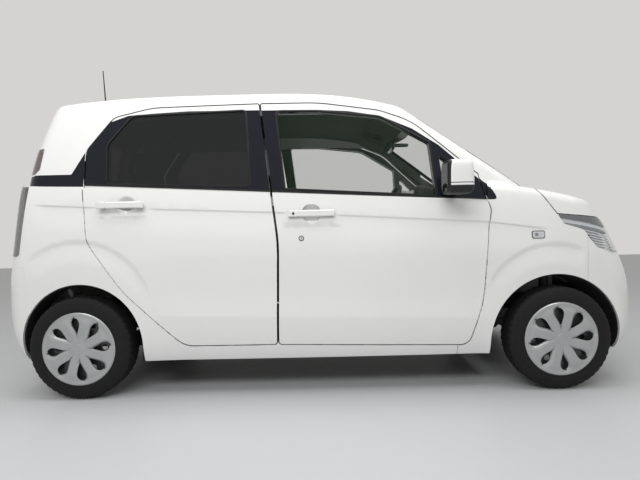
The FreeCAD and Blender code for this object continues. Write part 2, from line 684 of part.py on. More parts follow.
# Dashboard and steering wheel
dash_line = [(904, 640), (904, 1000), (760, 1030, 60), (560, 985, 50), (545, 870, 30), (640, 700, 60)]
dashboard = biggest(inside.common(side_prism(dash_line, -640, 640)))
column_dir = V(-math.cos(column_lean), 0, math.sin(column_lean))
wheel_centre = V(wheel_x, -seat_y, wheel_z)
ring_profile = [(-13, 180), (-6, 167), (6, 167), (13, 180), (6, 193), (-6, 193)]
steering_ring = turned(ring_profile, V(0, 0, 0), "x")
steering_ring.rotate(V(0, 0, 0), V(0, 1, 0), math.degrees(column_lean))
steering_ring.translate(wheel_centre)
hub = Part.makeCylinder(55, 45, wheel_centre - column_dir * 40, column_dir)
spoke = Part.makeBox(30, 340, 14, V(-15, -170, -7))
spoke.rotate(V(0, 0, 0), V(0, 1, 0), -90 + math.degrees(column_lean))
spoke.translate(wheel_centre - column_dir * 12)
steering_wheel = steering_ring.fuse([hub, spoke])
column = Part.makeCylinder(32, 260, wheel_centre - column_dir * 300.3, column_dir)
dashboard = biggest(dashboard.fuse(column))

# Seats: cushion, back and headrests on a plinth
def seat(x, width, y, low, back_lean, top, head, floor_at, rests):
    half = width / 2
    cushion_line = [(x - 250, low), (x - 250, low + 130, 30), (x + 230, low + 150, 45), (x + 260, low, 20)]
    cushion = side_prism(cushion_line, y - half, y + half)
    lean = math.tan(math.radians(back_lean))
    rise = top - low - 100
    back_line = [(x - 250, low + 60), (x - 130, low + 60), (x - 130 - rise * lean, top, 30), (x - 240 - rise * lean, top, 30)]
    back = side_prism(back_line, y - half, y + half)
    plinth = box(x - 200, x + 200, y - half + 40, y + half - 40, floor_at + seat_gap, low + 1)
    hx = x - 190 - rise * lean
    rest_line = [(hx - 45, top + 40, 20), (hx - 55, top + head, 30), (hx + 40, top + head, 30), (hx + 50, top + 40, 20)]
    heads = []
    for rest_y in rests:
        heads.append(side_prism(rest_line, y + rest_y - 110, y + rest_y + 110))
        heads.append(box(hx - 10, hx + 10, y + rest_y - 50, y + rest_y + 50, top - 20, top + 60))
    return cushion.fuse([back, plinth] + heads)


floor_top = floor_low + floor_thick
front_seat = seat(20, 500, -seat_y, 440, 20, 1060, 230, floor_top, [0])
rear_seat = seat(-830, 1060, 0, 440, 22, 1020, 190, rear_floor + floor_thick, [-260, 260])

# Cowl and wiper foot under the windscreen, and the roof aerial
cowl = screen_foot.cut(stack(cabin_sections, 0, 0, 0)).common(crowned(bonnet_line, cowl_drop, 100.0))
cowl_half = bonnet_half - seat_gap
cowl = cowl.common(box(900, 1300, -cowl_half, cowl_half, 1040, 1200))
aerial_foot = Part.makeCone(16, 9, 24, V(aerial_x, -aerial_y, aerial_z), V(0, 0, 1))
aerial_rod = Part.makeCone(4, 2.5, 200, V(aerial_x, -aerial_y, aerial_z + 20), V(-0.05, 0, 1))
aerial = aerial_foot.fuse(aerial_rod).cut(outside)

for name, shape in (
    ("side_frame_right", side_frame), ("side_frame_left", mirrored(side_frame)), ("roof_panel", roof_panel),
    ("fenders", Part.makeCompound([fender, mirrored(fender)])), ("front_bumper", front_bumper),
    ("rear_bumper", rear_bumper), ("grille", Part.makeCompound([grille, intake_grille])),
    ("headlamps", Part.makeCompound([headlamp, mirrored(headlamp)])),
    ("tail_lamps", Part.makeCompound(tail_lamps + [mirrored(one) for one in tail_lamps])),
    ("windscreen", windscreen), ("pillar_garnishes", Part.makeCompound([garnish, mirrored(garnish)])),
    ("bonnet", bonnet), ("tailgate", tailgate), ("tailgate_glass", tailgate_glass),
    ("underbody", whole(under)), ("engine", engine), ("fuel_tank", fuel_tank), ("exhaust", biggest(exhaust)),
    ("front_suspension", front_suspension), ("rear_axle", biggest(rear_axle)), ("dashboard", dashboard),
    ("steering_wheel", biggest(steering_wheel)), ("rear_seat", biggest(rear_seat)),
    ("front_seats", Part.makeCompound([biggest(front_seat), mirrored(biggest(front_seat))])),
    ("cowl", biggest(cowl)), ("aerial", biggest(aerial)),
):
    save(name, shape)

for side, place_on in (("right", lambda one: one), ("left", mirrored)):
    for place in ("front", "rear"):
        save("door_%s_%s" % (place, side), place_on(doors[place]))
        save("glass_%s_%s" % (place, side), place_on(doors[place + "_glass"]))
    save("mirror_" + side, place_on(mirror))
    save("knuckle_" + side, place_on(knuckle))
    for place, hub_x in (("front", front_hub_x), ("rear", rear_hub_x)):
        for piece, shape in (("tyre", tyre), ("rim", rim), ("cover", cover)):
            one = shape.copy()
            one.translate(V(hub_x, -track / 2, tyre_radius))
            save("%s_%s_%s" % (piece, place, side), place_on(one))
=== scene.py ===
# %% [markdown]
# A small tall-bodied car in solid white, seen square from its right side.
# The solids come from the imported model, which holds every size and joint.
# This notebook gives them their finish and adds what is too fine for the solids:
# glass seals, black sashes, lamp insides, tyre tread, seats and trim.

# %% Load the frame
import math

import bmesh
import bpy
from mathutils import Matrix, Vector
from mathutils.bvhtree import BVHTree


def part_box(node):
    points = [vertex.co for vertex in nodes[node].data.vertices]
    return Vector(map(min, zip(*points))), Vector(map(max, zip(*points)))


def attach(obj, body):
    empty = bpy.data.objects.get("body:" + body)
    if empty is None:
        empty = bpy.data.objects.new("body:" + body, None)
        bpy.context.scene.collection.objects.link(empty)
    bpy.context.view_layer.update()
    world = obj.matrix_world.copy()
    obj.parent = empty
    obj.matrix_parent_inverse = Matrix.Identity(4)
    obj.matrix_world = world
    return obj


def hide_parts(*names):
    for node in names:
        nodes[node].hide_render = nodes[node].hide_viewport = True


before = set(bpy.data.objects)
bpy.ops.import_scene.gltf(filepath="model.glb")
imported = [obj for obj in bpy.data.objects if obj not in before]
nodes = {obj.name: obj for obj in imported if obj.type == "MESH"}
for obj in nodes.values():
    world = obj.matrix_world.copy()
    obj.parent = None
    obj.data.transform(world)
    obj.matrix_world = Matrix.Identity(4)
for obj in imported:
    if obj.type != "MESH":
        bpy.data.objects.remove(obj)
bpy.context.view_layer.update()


def in_scene(name, data):
    """A new object of that mesh, lamp or camera."""
    made = bpy.data.objects.new(name, data)
    bpy.context.scene.collection.objects.link(made)
    return made


# %% [markdown]
# The camera stands where the photographer stood: about three metres from the car's
# middle line, a little below the glass, with a wide lens and the slightest tilt.
# The place and the three angles were found once by matching wheels, roof and shut
# lines, and are written here as plain sizes, so the camera needs no aiming code.

# %% Camera
camera_place = Vector((0.004, -3.136, 0.876))
camera_angles = (88.50, 1.29, 0.154)
camera_lens = 26.16

camera_data = bpy.data.cameras.new("camera")
camera_data.lens = camera_lens
camera_data.sensor_width = 36.0
camera_data.clip_start = 0.05
camera = in_scene("camera", camera_data)
camera.location = camera_place
camera.rotation_euler = [math.radians(a) for a in camera_angles]
bpy.context.scene.camera = camera

# %% [markdown]
# A finish is a small node tree. Written node by node it is long and hard to read,
# so one class wraps an output socket and turns Python arithmetic into Math nodes,
# and one method makes every other kind of node from its settings and inputs.
# What is the same all over a surface is set straight on the shader.


# %% Shader helpers
class Signal:
    """An output socket. Arithmetic on it adds Math nodes to the same finish."""

    def __init__(self, finish, socket):
        self.finish = finish
        self.socket = socket

    def maths(self, operation, first, second, clamp=False):
        settings = {"operation": operation, "use_clamp": clamp}
        return self.finish.node("ShaderNodeMath", settings, {0: first, 1: second})

    def __add__(self, other):
        return self.maths("ADD", self, other)

    def __sub__(self, other):
        return self.maths("SUBTRACT", self, other)

    def __mul__(self, other):
        return self.maths("MULTIPLY", self, other)

    def __truediv__(self, other):
        return self.maths("DIVIDE", self, other)

    __radd__ = __add__
    __rmul__ = __mul__

    def above(self, edge, soft):
        """0 below the edge, 1 above it, with a ramp of the given width."""
        return self.maths("ADD", (self - edge) / soft, 0.5, clamp=True)


class Finish:
    """One material: a Principled shader and the nodes that feed it."""

    def __init__(self, name, colour, **settings):
        self.material = bpy.data.materials.new(name)
        self.material.use_nodes = True
        self.tree = self.material.node_tree
        self.shader = self.tree.nodes["Principled BSDF"]
        self.colour = colour
        self.shader.inputs["Base Color"].default_value = (*colour, 1.0)
        for key, value in settings.items():
            self.shader.inputs[key.replace("_", " ").title()].default_value = value

    def node(self, kind, settings=None, inputs=None, output=0):
        made = self.tree.nodes.new(kind)
        for key, value in (settings or {}).items():
            setattr(made, key, value)
        for key, value in (inputs or {}).items():
            self.feed(made.inputs[key], value)
        return Signal(self, made.outputs[output])

    def feed(self, socket, value):
        if isinstance(socket, str):
            socket = self.shader.inputs[socket]
        if isinstance(value, Signal):
            self.tree.links.new(value.socket, socket)
        elif isinstance(value, tuple) and len(value) == 3 and socket.type == "RGBA":
            socket.default_value = (*value, 1.0)
        else:
            socket.default_value = value

    def place(self):
        """Where a point lies on the car, which moves with the piece."""
        return self.node("ShaderNodeTexCoord", output="Object")

    def axis(self, number):
        """One coordinate of that place: 0 for x, 1 for y, 2 for z."""
        return self.node("ShaderNodeSeparateXYZ", {}, {0: self.place()}, number)

    def noise(self, size, detail=2.0):
        """Cloudy noise, 0 to 1, whose blots are about size metres across."""
        inputs = {"Vector": self.place(), "Scale": 1.0 / size, "Detail": detail}
        return self.node("ShaderNodeTexNoise", {}, inputs)

    def blend_colours(self, factor, one, two):
        return self.node("ShaderNodeMix", {"data_type": "RGBA"}, {0: factor, 6: one, 7: two}, 2)

    def vary(self, size, amount):
        """Lets the colour drift a little lighter and darker."""
        dark = tuple(c * (1 - amount) for c in self.colour)
        light = tuple(min(c * (1 + amount), 1.0) for c in self.colour)
        self.feed("Base Color", self.blend_colours(self.noise(size), dark, light))

    def rough(self, size, low, high):
        self.feed("Roughness", low + (high - low) * self.noise(size, 3.0))
        return self

    def bump(self, height, depth, strength=0.5):
        """Depth is in metres from the lowest to the highest part of the height."""
        made = self.node("ShaderNodeBump", {}, {"Strength": strength, "Distance": depth, "Height": height})
        self.feed("Normal", made)
        return self


# %% [markdown]
# The finishes. The body is a solid white under a clear coat, and its only
# unevenness is the faint orange peel of sprayed paint. The window surrounds are
# glossy blue-black film, the trim below and the cowl are grained plastic, and the
# wheel covers are fine silver paint. Each gets detail at its own real scale.


# %% Paint, film and plastic
peel_height = 0.00002
peel_strength = 0.3
dull_shine = 0.28


def body_paint():
    made = Finish("body paint", (0.80, 0.80, 0.79), roughness=0.32, coat_weight=1.0, coat_roughness=0.04)
    made.vary(0.35, 0.012)
    return made.bump(made.noise(0.003, 1.0), peel_height, peel_strength)


def sprayed(name, colour, rough, peel=0.002, coat=0.6):
    made = Finish(name, colour, roughness=rough, coat_weight=coat, coat_roughness=0.05)
    made.vary(0.08, 0.08)
    return made.bump(made.noise(peel, 1.0), peel_height, peel_strength)


def grained(name, colour, rough, grain=0.0011):
    made = Finish(name, colour, roughness=rough)
    made.vary(0.06, 0.12)
    made.rough(0.03, rough - 0.06, rough + 0.06)
    cells = made.node("ShaderNodeTexVoronoi", {}, {"Vector": made.place(), "Scale": 1.0 / grain})
    return made.bump(cells, 0.00015, 0.5)


def rubber(name, colour, rough):
    made = Finish(name, colour, roughness=rough)
    made.vary(0.05, 0.25)
    made.rough(0.02, rough - 0.08, rough + 0.06)
    return made.bump(made.noise(0.0016, 3.0), 0.0002, 0.4)


paint = body_paint()
black_film = sprayed("black film", (0.007, 0.008, 0.014), 0.14, coat=0.0)
gloss_black = sprayed("gloss black", (0.012, 0.012, 0.014), 0.12)
dark_trim = grained("dark trim", (0.022, 0.022, 0.023), 0.52)
seal_rubber = rubber("seal rubber", (0.012, 0.012, 0.013), 0.55)
tyre_rubber = rubber("tyre rubber", (0.010, 0.010, 0.0105), 0.74)
dash_plastic = grained("dashboard plastic", (0.040, 0.038, 0.036), 0.60)
# The inner lining is darker than its own colour: part of it is painted shade for the dim cabin behind the
# glass.
lining_with_painted_shade = grained("inner lining with painted shade", (0.085, 0.085, 0.078), 0.70)
beige_plastic = grained("door lining", (0.115, 0.110, 0.098), 0.58)
wheel_steel = sprayed("wheel steel", (0.030, 0.030, 0.032), 0.38)
cover_silver = sprayed("cover silver", (0.44, 0.445, 0.45), 0.34, 0.0012)
cover_silver.shader.inputs["Metallic"].default_value = 0.60
for dull in (tyre_rubber, black_film, dark_trim, seal_rubber, dash_plastic):
    dull.shader.inputs["Specular IOR Level"].default_value = dull_shine
chassis_black = grained("chassis black", (0.018, 0.018, 0.019), 0.62, 0.004)
floor_sealer = grained("floor sealer", (0.010, 0.010, 0.0105), 0.75, 0.006)


# %% [markdown]
# Metal, glass and lenses. The side glass is thin, so it is a see-through shader
# with a tint rather than a solid block of refraction, which would be slow and
# would darken the cabin. The rear glass is dyed nearly black.


# %% Metal and glass
def metal(name, colour, rough, size=0.02):
    made = Finish(name, colour, roughness=rough, metallic=1.0)
    made.vary(size, 0.10)
    return made.rough(size, rough - 0.05, rough + 0.08)


def see_through(name, colour, alpha, rough=0.02, coat=0.0):
    made = Finish(name, colour, roughness=rough, coat_weight=coat, coat_roughness=0.01)
    made.feed("Alpha", alpha + 0.02 * made.noise(0.5, 1.0))
    return made


clear_glass = see_through("clear glass", (0.052, 0.090, 0.056), 0.075)
dark_glass = see_through("dark glass", (0.006, 0.008, 0.007), 0.68)
lamp_lens = see_through("lamp lens", (0.75, 0.78, 0.80), 0.16, coat=1.0)
smoked_lens = see_through("smoked lens", (0.16, 0.16, 0.155), 0.42, 0.06, 1.0)
chrome = metal("lamp chrome", (0.80, 0.81, 0.83), 0.12)
mirror_metal = metal("mirror glass", (0.05, 0.053, 0.055), 0.03, 0.3)
cast_metal = metal("cast metal", (0.30, 0.30, 0.31), 0.50, 0.01)
exhaust_steel = metal("exhaust steel", (0.34, 0.31, 0.28), 0.38, 0.03)

# %% [markdown]
# Most solids keep their own mesh and only take a finish. The inside of a door is
# lining and not paint, and the frame round its glass is black, so each face is
# sorted by the way it looks and by where it lies. Only the material number of a
# face changes, never a corner of the mesh.


# %% Finishes for the solids
belt_height = 1.050
belt_slope = -0.052
inner_look = -0.35
outer_look = 0.4


def belt_z(x):
    return belt_height + belt_slope * x


def give(node, *finishes):
    mesh = nodes[node].data
    mesh.materials.clear()
    for one in finishes:
        mesh.materials.append(one.material)
    for face in mesh.polygons:
        face.material_index = 0
    return mesh


def outward(face):
    """How far a face looks away from the middle of the car, -1 to 1."""
    return face.normal.y if face.center.y > 0 else -face.normal.y


plain_finishes = {
    "front_bumper": paint, "rear_bumper": paint, "bonnet": paint, "grille": gloss_black,
    "pillar_garnishes": black_film, "windscreen": clear_glass, "tailgate_glass": dark_glass,
    "underbody": floor_sealer, "engine": cast_metal, "fuel_tank": chassis_black, "exhaust": exhaust_steel,
    "front_suspension": chassis_black, "rear_axle": chassis_black, "dashboard": dash_plastic,
    "steering_wheel": dash_plastic, "cowl": dark_trim, "aerial": dark_trim, "headlamps": gloss_black,
    "tail_lamps": smoked_lens, "front_seats": dark_trim, "rear_seat": dark_trim,
}
for node, finish in plain_finishes.items():
    give(node, finish)
for side in ("right", "left"):
    give("knuckle_" + side, cast_metal)
    give("mirror_" + side, paint)
    give("glass_front_" + side, clear_glass)
    give("glass_rear_" + side, dark_glass)
    for place in ("front", "rear"):
        give("tyre_%s_%s" % (place, side), tyre_rubber)
        give("rim_%s_%s" % (place, side), wheel_steel)
        give("cover_%s_%s" % (place, side), cover_silver)
for node in [n for n in nodes if n.startswith(("door_", "side_frame_"))]:
    mesh = give(node, paint, beige_plastic, black_film, lining_with_painted_shade)
    for face in mesh.polygons:
        high = face.center.z > belt_z(face.center.x) + 0.01
        if outward(face) < inner_look:
            face.material_index = 3 if high else 1
        elif node.startswith("door_") and high and outward(face) < outer_look:
            face.material_index = 2
give("fenders", paint, lining_with_painted_shade, black_film)
for node, inwards in (("roof_panel", Vector((0, 0, -1))), ("tailgate", Vector((1, 0, 0)))):
    for face in give(node, paint, lining_with_painted_shade, black_film).polygons:
        face.material_index = int(face.normal.dot(inwards) > -inner_look)
print("finishes given to", len([n for n in nodes if nodes[n].data.materials]), "solids")

# %% [markdown]
# Trim lies on the panels, so it is taken from them. The outer faces of a panel
# are copied, cut with planes to the shape of the trim, raised by a millimetre and
# given a thickness. It then follows the panel's curve and its edges exactly, which
# a strip placed by eye would not. Every piece is made for the right side and
# mirrored for the left.


# %% Helpers that make pieces
merge_reach = 0.00002
sharp_angle = 35.0
far_right = -1.5
formed = {}


def all_smooth(mesh):
    for face in mesh.polygons:
        face.use_smooth = True


def add_piece(name, mesh, finish, body, slot, sharp_from=sharp_angle):
    mesh.name = name
    made = in_scene(name, mesh)
    mesh.materials.clear()
    mesh.materials.append(finish.material)
    all_smooth(mesh)
    mesh.set_sharp_from_angle(angle=math.radians(sharp_from))
    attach(made, body)
    return made


def mesh_of(bm):
    mesh = bpy.data.meshes.new("piece")
    bm.to_mesh(mesh)
    bm.free()
    return mesh


def left_of(mesh):
    """The same mesh on the other side of the car."""
    bm = bmesh.new()
    bm.from_mesh(mesh)
    for corner in bm.verts:
        corner.co.y = -corner.co.y
    bmesh.ops.reverse_faces(bm, faces=bm.faces)
    return mesh_of(bm)


def add_pair(name, mesh, finish, body, slot, sharp_from=sharp_angle):
    """A piece on the right and its mirror image on the left. A body's name can hold %s."""
    pair = []
    for side, one in (("right", mesh), ("left", left_of(mesh))):
        where = body.replace("%s", side)
        pair.append(add_piece(name + "_" + side, one, finish, where, slot, sharp_from))
    return pair


def drop_faces(bm, unwanted):
    bmesh.ops.delete(bm, geom=[f for f in bm.faces if unwanted(f)], context="FACES")


def cut(bm, place, way, clear=True):
    """Cuts a mesh with a plane and clears what lies behind it."""
    geom = bm.verts[:] + bm.edges[:] + bm.faces[:]
    bmesh.ops.bisect_plane(bm, geom=geom, plane_co=place, plane_no=way, clear_inner=clear)


def right_half(node):
    """The right half of a solid, with its doubled corners joined."""
    bm = bmesh.new()
    bm.from_mesh(nodes[node].data)
    drop_faces(bm, lambda f: f.calc_center_median().y > 0)
    bmesh.ops.remove_doubles(bm, verts=bm.verts, dist=merge_reach)
    bm.normal_update()
    return bm


def skin_of(node, looks=0.4, direction=(0, -1, 0)):
    """A copy of the faces of a solid, or of its formed panel, that look along a direction."""
    bm = bmesh.new()
    bm.from_mesh(formed.get(node, nodes[node].data))
    bmesh.ops.remove_doubles(bm, verts=bm.verts, dist=merge_reach)
    bm.normal_update()
    way = Vector(direction)
    drop_faces(bm, lambda f: f.normal.dot(way) < looks)
    return bm


def trim(bm, cuts):
    """Keeps what lies on the positive side of each plane, given as x, z and its way in x, z."""
    for x, z, way_x, way_z in cuts:
        cut(bm, (x, 0, z), (way_x, 0, way_z))
    return bm


def thicken(bm, lift, thick):
    """Raises a sheet off its panel and closes it to a solid strip."""
    bm.normal_update()
    for corner in bm.verts:
        corner.co += corner.normal * lift
    bmesh.ops.solidify(bm, geom=bm.faces[:], thickness=thick)
    bmesh.ops.recalc_face_normals(bm, faces=bm.faces)
    return bm


def join_rings(bm, rows):
    """Faces between each ring of corners and the next."""
    for one, two in zip(rows, rows[1:]):
        for k in range(len(one)):
            after = (k + 1) % len(one)
            bm.faces.new((one[k], two[k], two[after], one[after]))


# %% [markdown]
# The sides of the car are pressed sheet with a few soft lines in it: a step that runs
# through both door handles, a shallow hollow above a low crease, and a valley over
# each wheel. The solids leave these out. Here they are one formula of x and z, a few
# millimetres deep, with a deeper bowl behind the rear handle.

# %% Lines of the pressed sides
handle_line = [(-1.640, 1.041), (-1.247, 1.016), (-0.240, 0.966), (0.874, 0.893), (1.194, 0.848),
               (1.300, 0.834)]
step_zone = (-1.52, -1.44, 1.13, 1.20)
step_high = 0.010
step_hold = 0.020
step_fade = 0.150
step_deep = 0.0048
low_crease = 0.4108
low_slope = -0.0272
hollow_zone = (-1.02, -0.70, 0.80, 0.95)
hollow_low = 0.10
hollow_high = 0.38
hollow_deep = 0.0065
tuck_deep = 0.011
tuck_high = 0.16
rear_zone = (-1.56, -1.46, 8.0, 9.0)
front_zone = (-9.0, -8.0, 1.34, 1.385)
flares = [(-1.280, 0.430, 0.415, rear_zone), (1.215, 0.370, 0.410, front_zone)]
valley_wide = 0.030
valley_fade = 0.125
valley_low = 0.45
valley_high = 0.62
valley_deep = 0.0060
handles = [(-0.046, 0.952), (-1.032, 1.016)]
handle_half = (0.140, 0.064)
bowl_middle = (-1.010, 1.016)
bowl_half = (0.056, 0.050)
bowl_deep = 0.014
bar_back = -0.7385


def smooth(low, high, value):
    t = min(max((value - low) / (high - low), 0.0), 1.0)
    return t * t * (3 - 2 * t)


def plateau(zone, value):
    """Rises between the first two sizes of a zone and falls between the last two."""
    return smooth(zone[0], zone[1], value) * (1 - smooth(zone[2], zone[3], value))


def handle_line_z(x):
    for (xa, za), (xb, zb) in zip(handle_line, handle_line[1:]):
        if x <= xb or xb == handle_line[-1][0]:
            return za + (zb - za) * (x - xa) / (xb - xa)


def pressed_in(x, z, flush=True):
    """How far the sheet lies inside the solid's face.

    The bar of a handle isn't flush with the door, so the bowl leaves it out.
    """
    under = handle_line_z(x) - z
    fading = 1 - smooth(step_hold, step_fade, under)
    step = step_deep * smooth(0, step_high, under) * fading * plateau(step_zone, x)
    over = z - (low_crease + low_slope * x)
    hollow = hollow_deep * min(max(over, 0) / hollow_low, 1.0) * (1 - smooth(hollow_low, hollow_high, over))
    tuck = tuck_deep * max(-over, 0) / tuck_high
    valley = 0.0
    for cx, cz, radius, zone in flares:
        into = radius - math.hypot(x - cx, z - cz)
        band = plateau((0, valley_wide, valley_wide, valley_fade), into)
        band *= smooth(valley_low, valley_high, z) * plateau(zone, x)
        valley = max(valley, valley_deep * band)
    depth = step + max(valley, (hollow + tuck) * plateau(hollow_zone, x))
    for hx, hz in handles:
        near = max(abs(x - hx) / handle_half[0], abs(z - hz) / handle_half[1])
        depth *= smooth(0.88, 1.10, near)
    if not flush:
        return depth
    from_middle = math.hypot((x - bowl_middle[0]) / bowl_half[0], (z - bowl_middle[1]) / bowl_half[1])
    return depth + bowl_deep * (1 - smooth(0.35, 1.0, from_middle))


# %% [markdown]
# The outer skin of each panel is cut into strips along the lines, and its corners are
# pushed in by the formula. The solids' own smooth normals are carried over and tilted
# by the slope of the formula, so that the gloss stays free of flat spots.

# %% Pressed panels
step_cuts = [0.0, 0.0025, 0.005, 0.0075, 0.010, 0.015, 0.022, 0.040, 0.070, 0.100, 0.130, 0.160]
low_cuts = [0.38, 0.32, 0.27, 0.22, 0.18, 0.14, 0.10, 0.06, 0.03, 0.008, 0.0, -0.008, -0.03, -0.06,
            -0.09, -0.12]
flare_pitch = 0.014
bowl_pitch = 0.0065
long_pitch = 0.05
bowl_reach = 0.075
slope_reach = 0.0015
outer_reach = 0.002
arch_margin = 0.04
arch_low = 0.42
arch_high = 0.88


def slice_faces(bm, outer, place, way, region):
    """Cuts the faces marked as outer that lie in a region with a plane."""
    faces = [f for f in bm.faces if f[outer] and region(f.calc_center_median())]
    edges = {e for f in faces for e in f.edges}
    verts = {v for f in faces for v in f.verts}
    geom = list(verts) + list(edges) + faces
    bmesh.ops.bisect_plane(bm, geom=geom, dist=merge_reach, plane_co=place, plane_no=way)


def near_bowl(place):
    return abs(place.x - bowl_middle[0]) < bowl_reach and abs(place.z - bowl_middle[1]) < bowl_reach


def near_arch(place, cx, radius):
    return abs(place.x - cx) < radius + arch_margin and arch_low < place.z < arch_high


def slice_panel(bm, outer):
    """Cuts the outer faces into strips, narrow ones where the formula bends."""
    for (xa, za), (xb, zb) in zip(handle_line, handle_line[1:]):
        way = (-(zb - za) / (xb - xa), 0, 1)
        for down in step_cuts:
            slice_faces(bm, outer, (xa, 0, za - down), way, lambda p: xa - 0.3 < p.x < xb + 0.3)
    for up in low_cuts:
        way = (-low_slope, 0, 1)
        slice_faces(bm, outer, (0, 0, low_crease + up), way, lambda p: -1.1 < p.x < 1.0)
    for cx, cz, radius, zone in flares:
        count = int(2 * radius / flare_pitch)
        for k in range(count + 1):
            x = cx - radius + k * 2 * radius / count
            slice_faces(bm, outer, (x, 0, 0), (1, 0, 0), lambda p: near_arch(p, cx, radius))
        for k in range(count // 2 + 1):
            z = cz + 0.02 + k * radius / (count // 2)
            slice_faces(bm, outer, (0, 0, z), (0, 0, 1), lambda p: near_arch(p, cx, radius))
    for k in range(-9, 10):
        x, z = bowl_middle[0] + k * bowl_pitch, bowl_middle[1] + k * bowl_pitch
        slice_faces(bm, outer, (x, 0, 0), (1, 0, 0), near_bowl)
        slice_faces(bm, outer, (0, 0, z), (0, 0, 1), near_bowl)
    for k in range(-31, 28):
        slice_faces(bm, outer, (k * long_pitch, 0, 0), (1, 0, 0), lambda p: p.z < 1.05)


def solid_normals(mesh):
    """A way to look up the solid's own normal near a point."""
    mesh.calc_loop_triangles()
    corners = [v.co.copy() for v in mesh.vertices]
    triangles = [t for t in mesh.loop_triangles if t.normal.y < -0.3]
    tree = BVHTree.FromPolygons(corners, [t.vertices for t in triangles])
    ways = [mesh.corner_normals[i].vector.copy() for i in range(len(mesh.loops))]

    def look_up(point):
        near, _, index, _ = tree.find_nearest(point)
        found = triangles[index]
        a, b, c = [corners[i] for i in found.vertices]
        area = (b - a).cross(c - a)
        size = max(area.dot(area), 1e-18)
        wb = (near - a).cross(c - a).dot(area) / size
        wc = (b - a).cross(near - a).dot(area) / size
        na, nb, nc = [ways[i] for i in found.loops]
        return (na * (1 - wb - wc) + nb * wb + nc * wc).normalized()

    return look_up


def tilted(way, x, z, flush):
    """The solid's normal, leaned by the slope of the formula."""
    beside = pressed_in(x + slope_reach, z, flush) - pressed_in(x - slope_reach, z, flush)
    above = pressed_in(x, z + slope_reach, flush) - pressed_in(x, z - slope_reach, flush)
    slope_x = beside / (2 * slope_reach)
    slope_z = above / (2 * slope_reach)
    return Vector((-way.x / way.y + slope_x, -1.0, -way.z / way.y + slope_z)).normalized()


def pressed(node):
    """The panel of the right side with its lines pressed in."""
    look_up = solid_normals(nodes[node].data)
    bm = right_half(node)
    tree = BVHTree.FromBMesh(bm)
    outer = bm.faces.layers.int.new("outer")
    for face in bm.faces:
        middle = face.calc_center_median()
        hit = tree.ray_cast(Vector((middle.x, far_right, middle.z)), Vector((0, 1, 0)))[0]
        face[outer] = int(face.normal.y < -0.5 and hit is not None and abs(hit.y - middle.y) < outer_reach)
    slice_panel(bm, outer)
    bm.verts.index_update()
    pushed = {}
    for corner in {v for f in bm.faces if f[outer] for v in f.verts}:
        flush = corner.co.y > bar_back
        pushed[corner.index] = (look_up(corner.co), corner.co.x, corner.co.z, flush)
        corner.co.y += pressed_in(corner.co.x, corner.co.z, flush)
    marks = [f[outer] for f in bm.faces]
    mesh = mesh_of(bm)
    all_smooth(mesh)
    mesh.set_sharp_from_angle(angle=math.radians(sharp_angle))
    ways = [mesh.corner_normals[i].vector.copy() for i in range(len(mesh.loops))]
    leaned = {index: tilted(*known) for index, known in pushed.items() if known[0].y <= -0.2}
    for face, mark in zip(mesh.polygons, marks):
        if mark:
            for i in face.loop_indices:
                ways[i] = leaned.get(mesh.loops[i].vertex_index, ways[i])
    mesh.normals_split_custom_set(ways)
    return mesh


def mirrored_panel(mesh):
    """The left panel, with the right one's normals mirrored corner by corner."""
    other = left_of(mesh)
    all_smooth(other)
    flip = Vector((1, -1, 1))
    ways = [None] * len(other.loops)
    for face, twin in zip(mesh.polygons, other.polygons):
        known = {mesh.loops[i].vertex_index: mesh.corner_normals[i].vector * flip for i in face.loop_indices}
        for i in twin.loop_indices:
            ways[i] = known[other.loops[i].vertex_index]
    other.normals_split_custom_set(ways)
    return other


def add_panel(name, mesh, like, body):
    mesh.name = name
    made = in_scene(name, mesh)
    for one in nodes[like].data.materials:
        mesh.materials.append(one)
    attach(made, body)
    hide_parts(like)
    return made


# %% [markdown]
# Black film covers the frames of the doors, the quarter behind the rear door and a
# tip on the fender. On the flat of a panel it is a thin sheet of its own. On the
# rounded edges no sheet can lie, so there the faces themselves take its finish.

# %% Faces under film
film_low = 1.0545
film_slope = 0.058
belt_cut = (0.0, film_low + 0.003, film_slope, 1.0)
film_slack = 0.0005
film_top_front = [(0.878, 1.079), (0.760, 1.190), (0.640, 1.302), (0.500, 1.398), (0.330, 1.474),
                  (0.160, 1.503), (0.000, 1.514), (-0.330, 1.518)]
film_top_rear = [(-0.240, 1.519), (-0.700, 1.524), (-0.900, 1.516), (-1.030, 1.508), (-1.120, 1.476),
                 (-1.190, 1.400), (-1.240, 1.325), (-1.262, 1.150)]
film_quarter = [(-1.190, 1.132), (-1.190, 1.360), (-1.212, 1.335), (-1.305, 1.200), (-1.305, 1.132)]
film_tip = [(0.890, 1.006), (0.890, 1.064), (0.862, 1.094), (0.830, 1.110), (0.830, 1.006)]
film_outlines = {"door_front": [film_top_front], "door_rear": [film_top_rear],
                 "side_frame": [film_quarter, film_tip], "fenders": [film_tip]}


def between(a, b):
    """The plane through two x, z points that keeps what is on the left of the way from a to b."""
    return (a[0], a[1], a[1] - b[1], b[0] - a[0])


def chain(points):
    return [between(a, b) for a, b in zip(points, points[1:])]


def blacken(mesh, top_line):
    """Gives film to the faces between the belt line and the line above it."""
    planes = chain(top_line) + [belt_cut]
    for face in mesh.polygons:
        look = outward(face)
        places = [mesh.vertices[v].co for v in face.vertices] if look > 0.5 else [face.center]
        covered = all((p.x - x) * way_x + (p.z - z) * way_z > -film_slack
                      for p in places for x, z, way_x, way_z in planes)
        if look > inner_look and covered:
            face.material_index = 2


